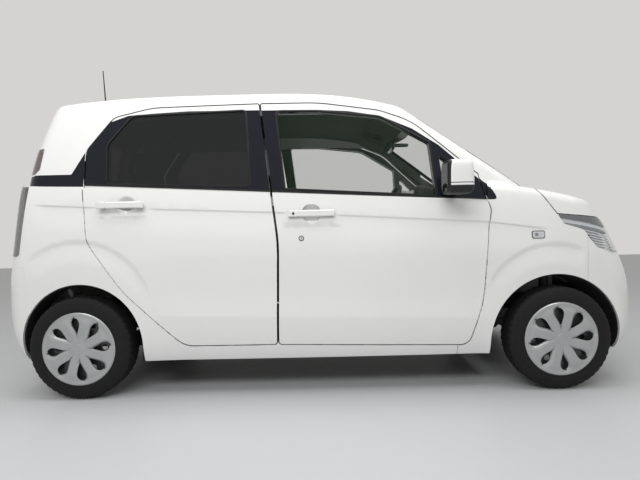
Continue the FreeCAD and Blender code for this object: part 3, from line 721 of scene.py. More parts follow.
panel_bodies = {"door_front": "door_front_%s", "door_rear": "door_rear_%s", "side_frame": "root",
                "fenders": "root"}
for node, body in panel_bodies.items():
    solid = node if node == "fenders" else node + "_right"
    panel = pressed(solid)
    for top_line in film_outlines[node]:
        blacken(panel, top_line)
    formed[solid] = panel
    for side, mesh in (("right", panel), ("left", mirrored_panel(panel))):
        like = solid.replace("_right", "_" + side)
        add_panel("panel_%s_%s" % (node, side), mesh, like, body.replace("%s", side))
    print("pressed", node, len(panel.polygons), "faces")

# %% [markdown]
# The black film on the doors starts at the belt line and ends at a white strip
# under the roof rail. That strip gets narrower down the windscreen pillar. The
# region under it is bulged outwards everywhere, so a few straight cuts, each
# along a chord of the curve, shape it.

# %% Black film round the windows
film_lift = 0.0008
film_thick = 0.0006


def film_sheet(bm):
    return mesh_of(thicken(bm, film_lift, film_thick))


for place, top_line in (("front", film_top_front), ("rear", film_top_rear)):
    film = trim(skin_of("door_%s_right" % place), [belt_cut] + chain(top_line))
    add_pair("film_door_" + place, film_sheet(film), black_film, "door_" + place + "_%s", "gloss_black")
print("black film on the doors done")

# %% [markdown]
# A rubber strip wipes each sliding glass at the belt line. It shows as a narrow
# dull band that stands a little proud of the door.

# %% Belt strips
strip_high = 0.011
strip_lift = 0.004
strip_thick = 0.003
strip_cuts = [(0.0, film_low, film_slope, 1.0), (0.0, film_low + strip_high, -film_slope, -1.0)]
for place in ("front", "rear"):
    band = thicken(trim(skin_of("door_%s_right" % place), strip_cuts), strip_lift, strip_thick)
    add_pair("belt_strip_" + place, mesh_of(band), seal_rubber, "door_" + place + "_%s", "dark_trim")

# %% [markdown]
# Each pane sits in a rubber channel. Its line is the edge of the pane itself, so
# the seal is made from that edge: the loop of border corners is walked in order
# and a small rounded profile is carried along it, in to the glass and out to the
# frame. No outline has to be typed again.


# %% Glass seals
pane_looks = 0.3
right_way = (0, -1, 0)
screen_way = (0.7, 0, 0.7)
gate_way = (-1, 0, 0.2)
fixed_panes = [("windscreen", screen_way, "root"), ("tailgate_glass", gate_way, "tailgate")]


def border_loop(bm):
    """The corners of the longest open border, in order."""
    links = {}
    for edge in bm.edges:
        if edge.is_boundary:
            a, b = edge.verts
            links.setdefault(a, []).append(b)
            links.setdefault(b, []).append(a)
    loops = []
    seen = set()
    for first in links:
        if first in seen:
            continue
        loop = [first]
        seen.add(first)
        while True:
            ahead = [v for v in links[loop[-1]] if v not in seen]
            if not ahead:
                break
            loop.append(ahead[0])
            seen.add(ahead[0])
        loops.append(loop)
    return max(loops, key=lambda l: sum((a.co - b.co).length for a, b in zip(l, l[1:])))


def resample(points, step):
    """Points every step along a closed line."""
    made = []
    count = len(points)
    for i in range(count):
        a, b = points[i], points[(i + 1) % count]
        parts = max(1, round((b - a).length / step))
        made.extend(a.lerp(b, k / parts) for k in range(parts))
    return made


def edge_of(pane, way, step):
    """Points along a pane's edge, the middle of that edge and a tree of the pane's outer face."""
    skin = skin_of(pane, pane_looks, way)
    border = [v.co.copy() for v in border_loop(skin)]
    middle = sum(border, Vector()) / len(border)
    tree = BVHTree.FromBMesh(skin)
    skin.free()
    return resample(border, step), middle, tree


def carry(points, outs, profile):
    """A closed tube: a profile of (across, raised) carried along a closed line."""
    bm = bmesh.new()
    rows = []
    count = len(points)
    for i in range(count):
        along = (points[(i + 1) % count] - points[i - 1]).normalized()
        across = along.cross(outs[i]).normalized()
        rows.append([bm.verts.new(points[i] + across * a + outs[i] * up) for a, up in profile])
    join_rings(bm, rows + rows[:1])
    bmesh.ops.recalc_face_normals(bm, faces=bm.faces)
    return bm


def seal_on(pane, way, width, proud):
    """A seal that reaches width in over the pane and stands proud of its face."""
    points, middle, tree = edge_of(pane, way, 0.03)
    outs = [tree.find_nearest(p)[1] for p in points]
    turn = sum((a - middle).cross(b - middle).dot(Vector(way)) for a, b in zip(points, points[1:]))
    if turn > 0:
        points.reverse()
        outs.reverse()
    profile = [(0.002, -0.002), (0.002, proud), (-0.002, proud + 0.001), (-0.8 * width, proud),
               (-width, proud * 0.5), (-width, 0.0005)]
    return mesh_of(carry(points, outs, profile))


for place in ("front", "rear"):
    bead = seal_on("glass_%s_right" % place, right_way, 0.009, 0.0052)
    add_pair("seal_glass_" + place, bead, seal_rubber, "door_" + place + "_%s", "dark_trim", 60)
for pane, way, body in fixed_panes:
    add_piece("seal_" + pane, seal_on(pane, way, 0.016, 0.0045), seal_rubber, body, "dark_trim", 60)

# %% [markdown]
# The windscreen and the back window carry a band of baked black enamel inside
# their edge, which hides the glue. Here it is a thin strip that follows the face of
# the pane from its edge inwards.


# %% Enamel band
enamel_lift = 0.0004
enamel_widths = {"windscreen": 0.055, "tailgate_glass": 0.045}


def band_inside(pane, way, width):
    points, middle, tree = edge_of(pane, way, 0.04)
    bm = bmesh.new()
    rows = []
    for point in points:
        near, near_way = tree.find_nearest(point + (middle - point).normalized() * width)[:2]
        edge_way = tree.find_nearest(point)[1]
        rows.append((bm.verts.new(point + edge_way * enamel_lift), bm.verts.new(near + near_way * enamel_lift)))
    for a, b in zip(rows, rows[1:] + rows[:1]):
        bm.faces.new((a[0], b[0], b[1], a[1]))
    bmesh.ops.recalc_face_normals(bm, faces=bm.faces)
    if sum(f.normal.dot(Vector(way)) for f in bm.faces) < 0:
        bmesh.ops.reverse_faces(bm, faces=bm.faces)
    return mesh_of(bm)


for pane, way, body in fixed_panes:
    band = band_inside(pane, way, enamel_widths[pane])
    add_piece("enamel_" + pane, band, gloss_black, body, "gloss_black", 60)

# %% [markdown]
# A tyre is turned like a pot: half of its section is drawn from bead to crown and
# mirrored, and the line is swept round the axle. The tread's ring grooves are
# steps in that line. The cross cuts at the shoulders come from sinking every
# fourth spoke of corners, which is cheaper than cutting blocks.


# %% Tyres
def turned(profile, centre, steps, sink):
    """Sweeps a closed line of (out, radius) round the wheel's axle on the right side."""
    bm = bmesh.new()
    rows = []
    for i in range(steps):
        angle = 2 * math.pi * i / steps
        row = []
        for k, (out, radius) in enumerate(profile):
            size = radius - sink(i, k)
            row.append(bm.verts.new(centre + Vector((size * math.cos(angle), -out, size * math.sin(angle)))))
        rows.append(row)
    join_rings(bm, rows + rows[:1])
    bmesh.ops.recalc_face_normals(bm, faces=bm.faces)
    return bm


def hub_of(place):
    low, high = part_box("tyre_%s_right" % place)
    return (low + high) / 2


tyre_half = 0.0782
tread_half = 0.052
crown = 0.2698
groove_depth = 0.0065
tyre_side = [(0.0680, 0.1765), (0.0735, 0.1790), (0.0762, 0.1860), (0.0752, 0.1885), (0.0768, 0.1990),
             (tyre_half, 0.2120), (tyre_half, 0.2180), (0.0776, 0.2190), (0.0770, 0.2290), (0.0745, 0.2400),
             (0.0735, 0.2410), (0.0715, 0.2490), (0.0680, 0.2560), (0.0635, 0.2620), (0.0580, 0.2662),
             (tread_half, 0.2688)]
groove_floor = crown - groove_depth
tread_half_line = [(0.0400, crown), (0.0395, groove_floor), (0.0315, groove_floor), (0.0310, crown),
                   (0.0140, crown), (0.0135, groove_floor), (0.0055, groove_floor), (0.0050, crown)]
half_line = tyre_side + tread_half_line
tyre_line = half_line + [(-out, radius) for out, radius in reversed(half_line)]
shoulder = [k for k, (out, radius) in enumerate(tyre_line) if 0.039 < abs(out) < 0.0640]
cut_every = 4
cut_depth = 0.0036
tyre_steps = 192


def shoulder_cuts(i, k):
    return cut_depth if k in shoulder and i % cut_every == 0 else 0.0


for place in ("front", "rear"):
    tyre = mesh_of(turned(tyre_line, hub_of(place), tyre_steps, shoulder_cuts))
    pair = add_pair("rubber_" + place, tyre, tyre_rubber, "wheel_" + place + "_%s", "tyre", 28)
    for side, one in zip(("right", "left"), pair):
        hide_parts("tyre_%s_%s" % (place, side))
print("tyres of", 2 * len(tyre.polygons), "triangles each")

# %% [markdown]
# The wheel cover has eight broad paddles that are turned like fan blades: each
# has a crest along one edge, a slope that falls into the opening beside it, and a
# sharp edge at its other side. It is a height field in polar form, laid out so
# that its columns follow the edges of the teardrop openings. Only the faces that
# lie in an opening are left out, so no cutting is needed.

# %% Wheel covers
paddles = 8
cover_low, cover_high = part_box("cover_rear_right")
cover_radius = (cover_high - cover_low).x / 2
cover_face = 0.086
opening_in = 0.076
opening_out = 0.1645
opening_half = math.radians(9.6)
closed_half = math.radians(1.0)
paddle_lean = math.radians(7.0)
slope_depth = 0.0125
blade_places = (0.0, 0.07, 0.15, 0.23, 0.30, 0.42, 0.60, 0.78, 0.92, 1.0)
blade_heights = (-1.0, -0.62, -0.26, -0.05, 0.0, -0.03, -0.09, -0.16, -0.22, -0.30)
gap_places = (0.25, 0.5, 0.75)
gap_height = -0.80
shell_wall = 0.0045
shell_thick = 0.0012
cover_radii = [0.0005, 0.010, 0.020, 0.0265, 0.028, 0.030, 0.036, 0.044, 0.052, 0.060, 0.068, opening_in,
               0.080, 0.086, 0.094, 0.103, 0.112, 0.121, 0.130, 0.139, 0.147, 0.154, 0.159, 0.1625,
               opening_out, 0.168, 0.172, 0.176, 0.182, 0.187, 0.1900, cover_radius]


def opening_width(radius):
    """Half the angle of an opening: a teardrop, narrow at the hub."""
    t = (radius - opening_in) / (opening_out - opening_in)
    if t <= 0 or t >= 1:
        return closed_half
    return closed_half + (opening_half - closed_half) * math.sin(math.pi * t ** 1.55) ** 0.55


def cover_base(radius):
    """The height of the cover's face without its paddles, from its outer plane."""
    cap = -0.0025 if radius < 0.0275 else -0.0038
    face = cap + (0.0038 * smooth(0.030, 0.100, radius)) * (radius > 0.029)
    rim_fall = -0.0052 * smooth(0.140, 0.176, radius)
    edge = -0.0045 * smooth(0.187, cover_radius, radius)
    return face + rim_fall + edge


def paddle_swell(radius):
    return plateau((0.034, 0.082, 0.1655, 0.178), radius)


def cover_bm(centre):
    bm = bmesh.new()
    columns = []
    for k in range(paddles):
        middle = 2 * math.pi * k / paddles
        for place, height in zip(blade_places, blade_heights):
            columns.append((middle, "blade", place, height))
        for place in gap_places:
            columns.append((middle + 2 * math.pi / paddles, "gap", place, gap_height))
    rows = []
    for radius in cover_radii:
        row = []
        half = opening_width(radius)
        lean = paddle_lean * radius / cover_radius
        for middle, kind, place, height in columns:
            if kind == "blade":
                angle = middle + half + place * (2 * math.pi / paddles - 2 * half)
            else:
                angle = middle - half + place * 2 * half
            swell = paddle_swell(radius)
            out = cover_face + cover_base(radius) + swell * height * slope_depth
            angle += lean
            corner = Vector((radius * math.cos(angle), -out, radius * math.sin(angle)))
            row.append(bm.verts.new(centre + corner))
        rows.append(row)
    count = len(columns)
    for r in range(len(rows) - 1):
        for c in range(count):
            after = (c + 1) % count
            in_gap = columns[c][1] == "gap" or columns[after][1] == "gap"
            if in_gap and opening_in <= cover_radii[r] < opening_out:
                continue
            bm.faces.new((rows[r][c], rows[r + 1][c], rows[r + 1][after], rows[r][after]))
    centre_face = bm.faces.new(rows[0])
    bmesh.ops.recalc_face_normals(bm, faces=bm.faces)
    if centre_face.normal.y > 0:
        bmesh.ops.reverse_faces(bm, faces=bm.faces)
    return bm


def with_walls(bm, depth):
    """Turns every border inwards by a depth, so that the openings show a wall."""
    border = [e for e in bm.edges if e.is_boundary]
    made = bmesh.ops.extrude_edge_only(bm, edges=border)
    for corner in [g for g in made["geom"] if isinstance(g, bmesh.types.BMVert)]:
        corner.co.y += depth
    return bm


for place in ("front", "rear"):
    shell = with_walls(cover_bm(hub_of(place)), shell_wall)
    bmesh.ops.solidify(shell, geom=shell.faces[:], thickness=shell_thick)
    disc = mesh_of(shell)
    pair = add_pair("disc_cover_" + place, disc, cover_silver, "wheel_" + place + "_%s", "cover_silver", 40)
    for side, one in zip(("right", "left"), pair):
        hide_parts("cover_%s_%s" % (place, side))
print("covers of", len(pair[0].data.polygons), "faces each")

# %% [markdown]
# Small plates on the panels, such as the marker lamp or a lock, start as a flat
# outline seen from the side. The outline is cut into strips, each corner is sent
# straight at the car until it meets the panel, and the sheet is thickened.


# %% Plates laid on a panel
plate_grid = 0.02
near_side = -0.72


def rounded_outline(middle, width, height, radius, corner_steps=5):
    """An x, z rectangle with round corners."""
    points = []
    for sx, sz, start in ((1, 1, 0), (-1, 1, 90), (-1, -1, 180), (1, -1, 270)):
        cx = middle[0] + sx * (width / 2 - radius)
        cz = middle[1] + sz * (height / 2 - radius)
        for k in range(corner_steps + 1):
            angle = math.radians(start + 90 * k / corner_steps)
            points.append((cx + radius * math.cos(angle), cz + radius * math.sin(angle)))
    return points


def laid_on(panel, outline, lift, thick):
    """A thick sheet of the outline's shape that follows the panel's outer side."""
    skin = skin_of(panel, 0.3)
    tree = BVHTree.FromBMesh(skin)
    skin.free()
    bm = bmesh.new()
    bm.faces.new([bm.verts.new((x, 0, z)) for x, z in outline])
    start = min(p[0] for p in outline)
    wide = max(p[0] for p in outline) - start
    cuts = int(wide / plate_grid)
    for k in range(1, cuts):
        cut(bm, (start + wide * k / cuts, 0, 0), (1, 0, 0), False)
    for corner in bm.verts:
        hit = tree.ray_cast(Vector((corner.co.x, far_right, corner.co.z)), Vector((0, 1, 0)))[0]
        if hit is None:
            hit = tree.find_nearest(Vector((corner.co.x, near_side, corner.co.z)))[0]
        corner.co.y = hit.y
    bm.normal_update()
    if sum(f.normal.y for f in bm.faces) > 0:
        bmesh.ops.reverse_faces(bm, faces=bm.faces)
    return mesh_of(thicken(bm, lift, thick))


# Each row: name, outline, lift, thickness, finish, slot and sharp angle.
marker_middle = (1.1335, 0.8155)
bulb_middle = (1.1245, 0.8155)
lock_middle = (-0.100, 0.824)
marker_rows = [("base", (marker_middle, 0.069, 0.041, 0.010), 0.0012, 0.002, gloss_black, "gloss_black", 35),
               ("reflector", (marker_middle, 0.061, 0.033, 0.008), 0.0020, 0.002, chrome, "lamp_lens", 60),
               ("lens", (marker_middle, 0.061, 0.033, 0.008), 0.0050, 0.0015, lamp_lens, "lamp_lens", 60),
               ("bulb", (bulb_middle, 0.018, 0.018, 0.0085), 0.0034, 0.0012, gloss_black, "lamp_lens", 60)]
lock_rows = [("ring", (lock_middle, 0.028, 0.028, 0.0139, 8), 0.0015, 0.0016, gloss_black, "gloss_black", 60),
             ("face", (lock_middle, 0.021, 0.021, 0.0104, 8), 0.0024, 0.0010, chrome, "cover_silver", 60),
             ("slot", (lock_middle, 0.0022, 0.010, 0.0010, 3), 0.0028, 0.0006, gloss_black, "gloss_black", 60)]
for kind, panel, body, plates in (("marker_", "fenders", "root", marker_rows),
                                  ("lock_", "door_front_right", "door_front_%s", lock_rows)):
    for name, shape, lift, thick, finish, slot, sharp_from in plates:
        plate = laid_on(panel, rounded_outline(*shape), lift, thick)
        add_pair(kind + name, plate, finish, body, slot, sharp_from)

# %% [markdown]
# A headlamp is a clear shell over a dark tray. The lamp's solid gives both: its
# outer faces become the lens, a few millimetres thick, and all its other faces,
# turned inside out, become the tray. A black brow, a light strip and fins sit
# between the two, cut from the same skin at different depths.

# %% Headlamps
lamp_way = Vector((0.55, -0.83, 0.1))
lamp_centre = Vector((1.30, -0.35, 0.80))
lamp_looks = 0.35
brow_rear = (1.236, 0.905)
brow_front = (1.545, 0.846)
fin_count = 8
fin_top = 0.040
fin_pitch = 0.0135
fin_height = 0.0055
fin_lift = -0.013
fin_thick = 0.004
lens_thick = -0.003
fin_end = (1.385, 0.8, 1.0, 0.0)


def split_lamp(node, is_lens):
    """The outer faces of a lamp's solid, and its other faces turned inside out."""
    lens = right_half(node)
    tray = lens.copy()
    drop_faces(lens, lambda f: not is_lens(f))
    drop_faces(tray, is_lens)
    bmesh.ops.reverse_faces(tray, faces=tray.faces)
    return lens, tray


def headlamp_lens(face):
    """The outer faces look away from the engine bay and aren't the cut sides."""
    away = (face.calc_center_median() - lamp_centre).dot(face.normal) > 0
    return away and face.normal.y < -0.02 and face.normal.dot(lamp_way) > lamp_looks


def lamp_layer(cuts, lift, thick):
    return mesh_of(thicken(trim(lamp_bm.copy(), cuts), lift, thick))


def lower(point, drop):
    return (point[0], point[1] - drop)


def above_line(drop):
    return between(lower(brow_rear, drop), lower(brow_front, drop))


def below_line(drop):
    return between(lower(brow_front, drop), lower(brow_rear, drop))


lamp_bm, tray_bm = split_lamp("headlamps", headlamp_lens)
print("headlamp lens has", len(lamp_bm.faces), "faces, tray has", len(tray_bm.faces))
tray_black = grained("lamp tray", (0.055, 0.057, 0.060), 0.35, 0.002)
strip_light = Finish("lamp strip", (0.72, 0.74, 0.76), roughness=0.22, coat_weight=0.5)
strip_light.vary(0.01, 0.12)
tray = add_pair("lamp_tray", mesh_of(tray_bm), tray_black, "root", "gloss_black")
lens = add_pair("lamp_lens", lamp_layer([], 0.0, lens_thick), lamp_lens, "root", "lamp_lens")
for one in tray + lens:
    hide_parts("headlamps")
add_pair("lamp_brow", lamp_layer([above_line(0.0)], 0.0012, 0.002), gloss_black, "root", "gloss_black")
strip_rows = [("lamp_strip", below_line(0.004), above_line(0.021), -0.008, strip_light),
              ("lamp_line", below_line(0.021), above_line(0.030), -0.007, gloss_black)]
for name, top, low, lift, finish in strip_rows:
    add_pair(name, lamp_layer([top, low], lift, 0.003), finish, "root", "lamp_lens")
fins = bmesh.new()
for k in range(fin_count):
    start = fin_top + k * fin_pitch
    fin_cuts = [below_line(start), above_line(start + fin_height), fin_end]
    fins.from_mesh(lamp_layer(fin_cuts, fin_lift, fin_thick))
add_pair("lamp_fins", mesh_of(fins), chrome, "root", "lamp_lens")

# %% [markdown]
# The tail lamps are smoked shells over a ribbed tray, split the same way. The tray
# is red behind and pale where it runs round the corner of the car.

# %% Tail lamps
tail_way = Vector((-0.62, -0.78, 0.0))
tail_looks = 0.30
tail_red = (0.50, 0.012, 0.010)
tail_pale = (0.30, 0.30, 0.29)
red_to = 0.57
tail_lens, tail_tray = split_lamp("tail_lamps", lambda f: f.normal.dot(tail_way) >= tail_looks)
tail_glow = Finish("tail lamp tray", tail_pale, roughness=0.3)
from_side = tail_glow.node("ShaderNodeMath", {"operation": "ABSOLUTE"}, {0: tail_glow.axis(1)})
tail_colour = tail_glow.blend_colours(from_side.above(red_to, 0.012), tail_red, tail_pale)
tail_glow.feed("Base Color", tail_colour)
ribs = {"Vector": tail_glow.place(), "Scale": 40.0}
tail_glow.bump(tail_glow.node("ShaderNodeTexWave", {"bands_direction": "Z"}, ribs, 1), 0.002, 0.8)
tray = add_pair("tail_tray", mesh_of(tail_tray), tail_glow, "root", "red_lens")
shell = mesh_of(thicken(tail_lens, 0.0, lens_thick))
lens = add_pair("tail_lens", shell, smoked_lens, "root", "red_lens", 60)
for one in tray + lens:
    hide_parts("tail_lamps")

# %% [markdown]
# The door mirror is a soft block: a fine cube is pushed out to a form between a
# ball and a box, which gives corners that are round in every direction. It is cut
# into a white cap, a white band and a black foot, with a dark line between the two
# white parts, and its rear face is opened for the glass.


# %% Door mirrors
def soft_block(low, high, power, cuts=10, taper=0.0):
    """A box with full, rounded corners. A larger power is boxier."""
    bm = bmesh.new()
    bmesh.ops.create_cube(bm, size=2.0)
    bmesh.ops.subdivide_edges(bm, edges=bm.edges[:], cuts=cuts, use_grid_fill=True)
    low, high = Vector(low), Vector(high)
    middle, half = (low + high) / 2, (high - low) / 2
    for corner in bm.verts:
        p = [math.sin(c * math.pi / 2) for c in corner.co]
        size = sum(abs(c) ** power for c in p) ** (1 / power)
        q = Vector([c / size for c in p])
        q.x *= 1 - taper * (q.z + 1) / 2
        corner.co = Vector([m + h * c for m, h, c in zip(middle, half, q)])
    bmesh.ops.recalc_face_normals(bm, faces=bm.faces)
    return bm


mirror_low, mirror_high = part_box("mirror_right")
cap_inner = -0.766
foot_top = 1.066
line_low = 1.0765
line_high = 1.0805
line_sink = 0.002
open_depth = 0.012
mirror_wall = 0.0025
mirror_body = "door_front_%s"


def mirror_part(low_z, high_z, shrink=0.0):
    low = Vector((mirror_low.x + shrink, mirror_low.y + shrink, mirror_low.z + shrink))
    high = Vector((mirror_high.x - shrink, cap_inner - shrink, mirror_high.z - shrink))
    bm = soft_block(low, high, 5.5, 14, 0.06)
    cut(bm, (0, 0, low_z), (0, 0, 1))
    cut(bm, (0, 0, high_z), (0, 0, -1))
    cut(bm, (mirror_low.x + open_depth, 0, 0), (1, 0, 0))
    bmesh.ops.solidify(bm, geom=bm.faces[:], thickness=mirror_wall)
    return mesh_of(bm)


def mirror_plate(near, far, inset):
    """A flat block behind the mirror's opening, inset from its outline."""
    low = (mirror_low.x + near, mirror_low.y + inset, mirror_low.z + inset)
    high = (mirror_low.x + far, cap_inner - inset, mirror_high.z - inset)
    return mesh_of(soft_block(low, high, 7.0, 18))


cap = add_pair("mirror_cap", mirror_part(line_high, 2.0), paint, mirror_body, "body_paint")
add_pair("mirror_band", mirror_part(foot_top, line_low), paint, mirror_body, "body_paint")
dark_line = mirror_part(line_low - line_sink, line_high + line_sink, line_sink)
add_pair("mirror_line", dark_line, dark_trim, mirror_body, "dark_trim")
add_pair("mirror_base", mirror_part(0.0, foot_top), dark_trim, mirror_body, "dark_trim")
for side, one in zip(("right", "left"), cap):
    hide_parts("mirror_" + side)
arm = soft_block((mirror_low.x + 0.030, -0.800, 1.030), (mirror_low.x + 0.100, -0.668, 1.062), 4.0, 8)
add_pair("mirror_arm", mesh_of(arm), dark_trim, mirror_body, "dark_trim")
add_pair("mirror_bezel", mirror_plate(0.006, 0.034, 0.004), dark_trim, mirror_body, "dark_trim")
add_pair("mirror_pane", mirror_plate(0.003, 0.010, 0.014), mirror_metal, mirror_body, "cover_silver")

# %% [markdown]
# The cabin shows through clear glass, so its soft parts are made as what they are. A
# seat cover is a closed skin over foam: the block is remeshed to an even net, the
# net is held along its sewn seams and underneath, and Blender's cloth blows it up
# from inside for twenty frames. The foam then swells between the seams. No point
# may move further than a cap, so the pad keeps to the room its solid has.

# %% Pads blown up as cloth
pad_net = 0.006
pad_frames = 20
cloth_rules = {"quality": 4, "mass": 0.2, "tension_stiffness": 12, "compression_stiffness": 12,
               "shear_stiffness": 5, "bending_stiffness": 0.4, "use_pressure": True,
               "uniform_pressure_force": 4, "vertex_group_mass": "held"}
# The seat cloth and the head lining are darker than their own colours: part of each is painted shade for the
# dim cabin behind the glass.
seat_cloth = grained("seat cloth with painted shade", (0.115, 0.105, 0.092), 0.85, 0.0016)
seat_cloth.shader.inputs["Sheen Weight"].default_value = 0.25
head_lining_with_painted_shade = grained("head lining with painted shade", (0.075, 0.075, 0.070), 0.9, 0.003)


def as_shown(piece):
    """The mesh of an object after its modifiers."""
    return bpy.data.meshes.new_from_object(piece.evaluated_get(bpy.context.evaluated_depsgraph_get()))


def even_net(bm, size):
    """The shape as one closed mesh of even squares."""
    block = in_scene("block", mesh_of(bm))
    net = block.modifiers.new("net", "REMESH")
    net.mode = "VOXEL"
    net.voxel_size = size
    mesh = as_shown(block)
    bpy.data.objects.remove(block)
    return mesh


def blown_up(bm, face_way, seams, cap):
    """A pad whose cover is held at its seams and at its back and swells elsewhere."""
    mesh = even_net(bm, pad_net)
    cover = in_scene("cover", mesh)
    way = Vector(face_way)
    held = []
    for corner in mesh.vertices:
        looks = corner.normal.dot(way)
        if looks < -0.7 or (looks > 0.2 and any(abs(seam(corner.co)) < 0.7 * pad_net for seam in seams)):
            held.append(corner.index)
    cover.vertex_groups.new(name="held").add(held, 1.0, "REPLACE")
    cloth = cover.modifiers.new("cloth", "CLOTH")
    for rule, value in cloth_rules.items():
        setattr(cloth.settings, rule, value)
    cloth.settings.effector_weights.gravity = 0
    cloth.point_cache.frame_start = 1
    cloth.point_cache.frame_end = pad_frames
    for frame_number in range(1, pad_frames + 1):
        bpy.context.scene.frame_set(frame_number)
    puffed = as_shown(cover)
    for before, after in zip(mesh.vertices, puffed.vertices):
        move = after.co - before.co
        if move.length > cap:
            after.co = before.co + move * (cap / move.length)
    bpy.data.objects.remove(cover)
    bpy.context.scene.frame_set(1)
    return puffed


def moved(mesh, lean, to):
    """The mesh leaned back about the car's cross axis and then put in place."""
    made = mesh.copy()
    made.transform(Matrix.Translation(Vector(to)) @ Matrix.Rotation(math.radians(-lean), 4, "Y"))
    return made


# %% [markdown]
# A front seat is a cushion with raised sides, a leaned back of the same make and a
# head restraint on two posts. The rear bench is wider and plainer. The shapes lie in
# their own axes while the cloth runs, and are leaned and placed afterwards.

# %% Seats
seat_mid = 0.330
front_lean = 18.6
rear_lean = 22.0
swell_cap = 0.018


def cushion_block(length, width, thick, side_rise):
    bm = soft_block((-length / 2, -width / 2, -thick / 2), (length / 2, width / 2, thick / 2), 6.0, 14)
    for corner in bm.verts:
        if corner.co.z > 0:
            corner.co.z += side_rise * smooth(0.60, 0.95, abs(corner.co.y) / (width / 2))
    return bm


def back_block(high, width, thick, side_rise):
    bm = soft_block((-thick / 2, -width / 2, 0), (thick / 2, width / 2, high), 6.0, 14)
    for corner in bm.verts:
        share = corner.co.z / high
        if corner.co.x > 0:
            corner.co.x += side_rise * smooth(0.60, 0.95, abs(corner.co.y) / (width / 2)) * (1 - 0.6 * share)
        corner.co.y *= 1 - 0.18 * smooth(0.55, 1.0, share)
    return bm


def side_seams(out):
    """Two seams along a pad, one on each side of its middle."""
    return lambda p: abs(p.y) - out


def cross_seam(axis, place, out=10.0):
    """A seam across a pad, which ends at its side seams."""
    return lambda p: p[axis] - place if abs(p.y) < out else 1


front_cushion = blown_up(cushion_block(0.480, 0.470, 0.120, 0.020), (0, 0, 1),
                         [side_seams(0.150), cross_seam(0, -0.070, 0.15), cross_seam(0, 0.085, 0.15)],
                         swell_cap)
front_back = blown_up(back_block(0.560, 0.460, 0.085, 0.018), (1, 0, 0),
                      [side_seams(0.145), cross_seam(2, 0.170, 0.145), cross_seam(2, 0.320, 0.145),
                       cross_seam(2, 0.455)], swell_cap)
head_block = soft_block((-0.034, -0.098, -0.078), (0.034, 0.098, 0.078), 3.6, 12)
head_pad = blown_up(head_block, (1, 0, 0), [], 0.010)
rear_cushion = blown_up(cushion_block(0.470, 1.030, 0.120, 0.0), (0, 0, 1),
                        [side_seams(0.0), side_seams(0.30), cross_seam(0, 0.060)], swell_cap)
rear_back = blown_up(back_block(0.520, 1.030, 0.085, 0.0), (1, 0, 0),
                     [side_seams(0.0), side_seams(0.30), cross_seam(2, 0.300)], swell_cap)


def rest_posts(x, y, low, high, lean):
    bm = bmesh.new()
    for side in (-0.045, 0.045):
        place = Matrix.Translation((0, side, (high - low) / 2))
        bmesh.ops.create_cone(bm, segments=16, radius1=0.006, radius2=0.006, depth=high - low, cap_ends=True,
                              matrix=place)
    return moved(mesh_of(bm), lean, (x, y, low))


def plinth(low, high):
    return mesh_of(soft_block(low, high, 9.0, 10))


# Each row: name, pad, lean in degrees and place.
front_pads = [("seat_cushion", front_cushion, 2.5, (0.022, -seat_mid, 0.512)),
              ("seat_back", front_back, front_lean, (-0.172, -seat_mid, 0.510)),
              ("head_rest", head_pad, 8.0, (-0.366, -seat_mid, 1.192))]
bench_pads = [("bench_cushion", rear_cushion, 2.5, (-0.828, 0, 0.512)),
              ("bench_back", rear_back, rear_lean, (-1.025, 0, 0.510))]
soft_pieces = []
for name, pad, lean, place in front_pads:
    soft_pieces += add_pair(name, moved(pad, lean, place), seat_cloth, "root", "seat_cloth", 60)
add_pair("rest_posts", rest_posts(-0.352, -seat_mid, 1.030, 1.150, 8.0), chrome, "root", "cast_metal")
front_plinth = plinth((-0.185, -0.545, 0.224), (0.225, -0.115, 0.455))
plinths = add_pair("seat_plinth", front_plinth, dark_trim, "root", "seat_cloth")
bench = []
for name, pad, lean, place in bench_pads:
    bench.append(add_piece(name, moved(pad, lean, place), seat_cloth, "root", "seat_cloth", 60))
bench_plinth = plinth((-1.035, -0.490, 0.372), (-0.625, 0.490, 0.455))
bench.append(add_piece("bench_plinth", bench_plinth, dark_trim, "root", "seat_cloth"))
rear_pad = moved(head_pad, 10.0, (-1.205, -0.260, 1.128))
rear_rest = add_pair("rear_rest", rear_pad, seat_cloth, "root", "seat_cloth", 60)
add_pair("rear_rest_posts", rest_posts(-1.196, -0.260, 0.985, 1.080, 10.0), chrome, "root", "cast_metal")
for one in soft_pieces + plinths:
    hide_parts("front_seats")
for one in bench + rear_rest:
    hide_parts("rear_seat")
print("front cushion of", len(front_cushion.polygons), "faces, bench back of", len(rear_back.polygons))

# %% [markdown]
# The steering wheel turns with its own body. Its rim is a ring with a slightly
# thicker grip at ten and two, carried round a circle that leans back with the column.

# %% Steering wheel
wheel_middle = Vector((0.400, -0.330, 0.950))
column_lean = math.radians(25.0)
wheel_axis = Vector((-math.cos(column_lean), 0, math.sin(column_lean)))
wheel_up = Vector((math.sin(column_lean), 0, math.cos(column_lean)))
wheel_across = Vector((0, 1, 0))
wheel_radius = 0.178
grip = 0.0138
thumb_swell = 0.16
thumb_spread = 9.0
ring_steps = 96
tube_steps = 14


def on_wheel(across, up, out):
    return wheel_middle + wheel_across * across + wheel_up * up + wheel_axis * out


def wheel_block(low, high, power, cuts=8):
    bm = soft_block(low, high, power, cuts)
    for corner in bm.verts:
        corner.co = on_wheel(*corner.co)
    return mesh_of(bm)


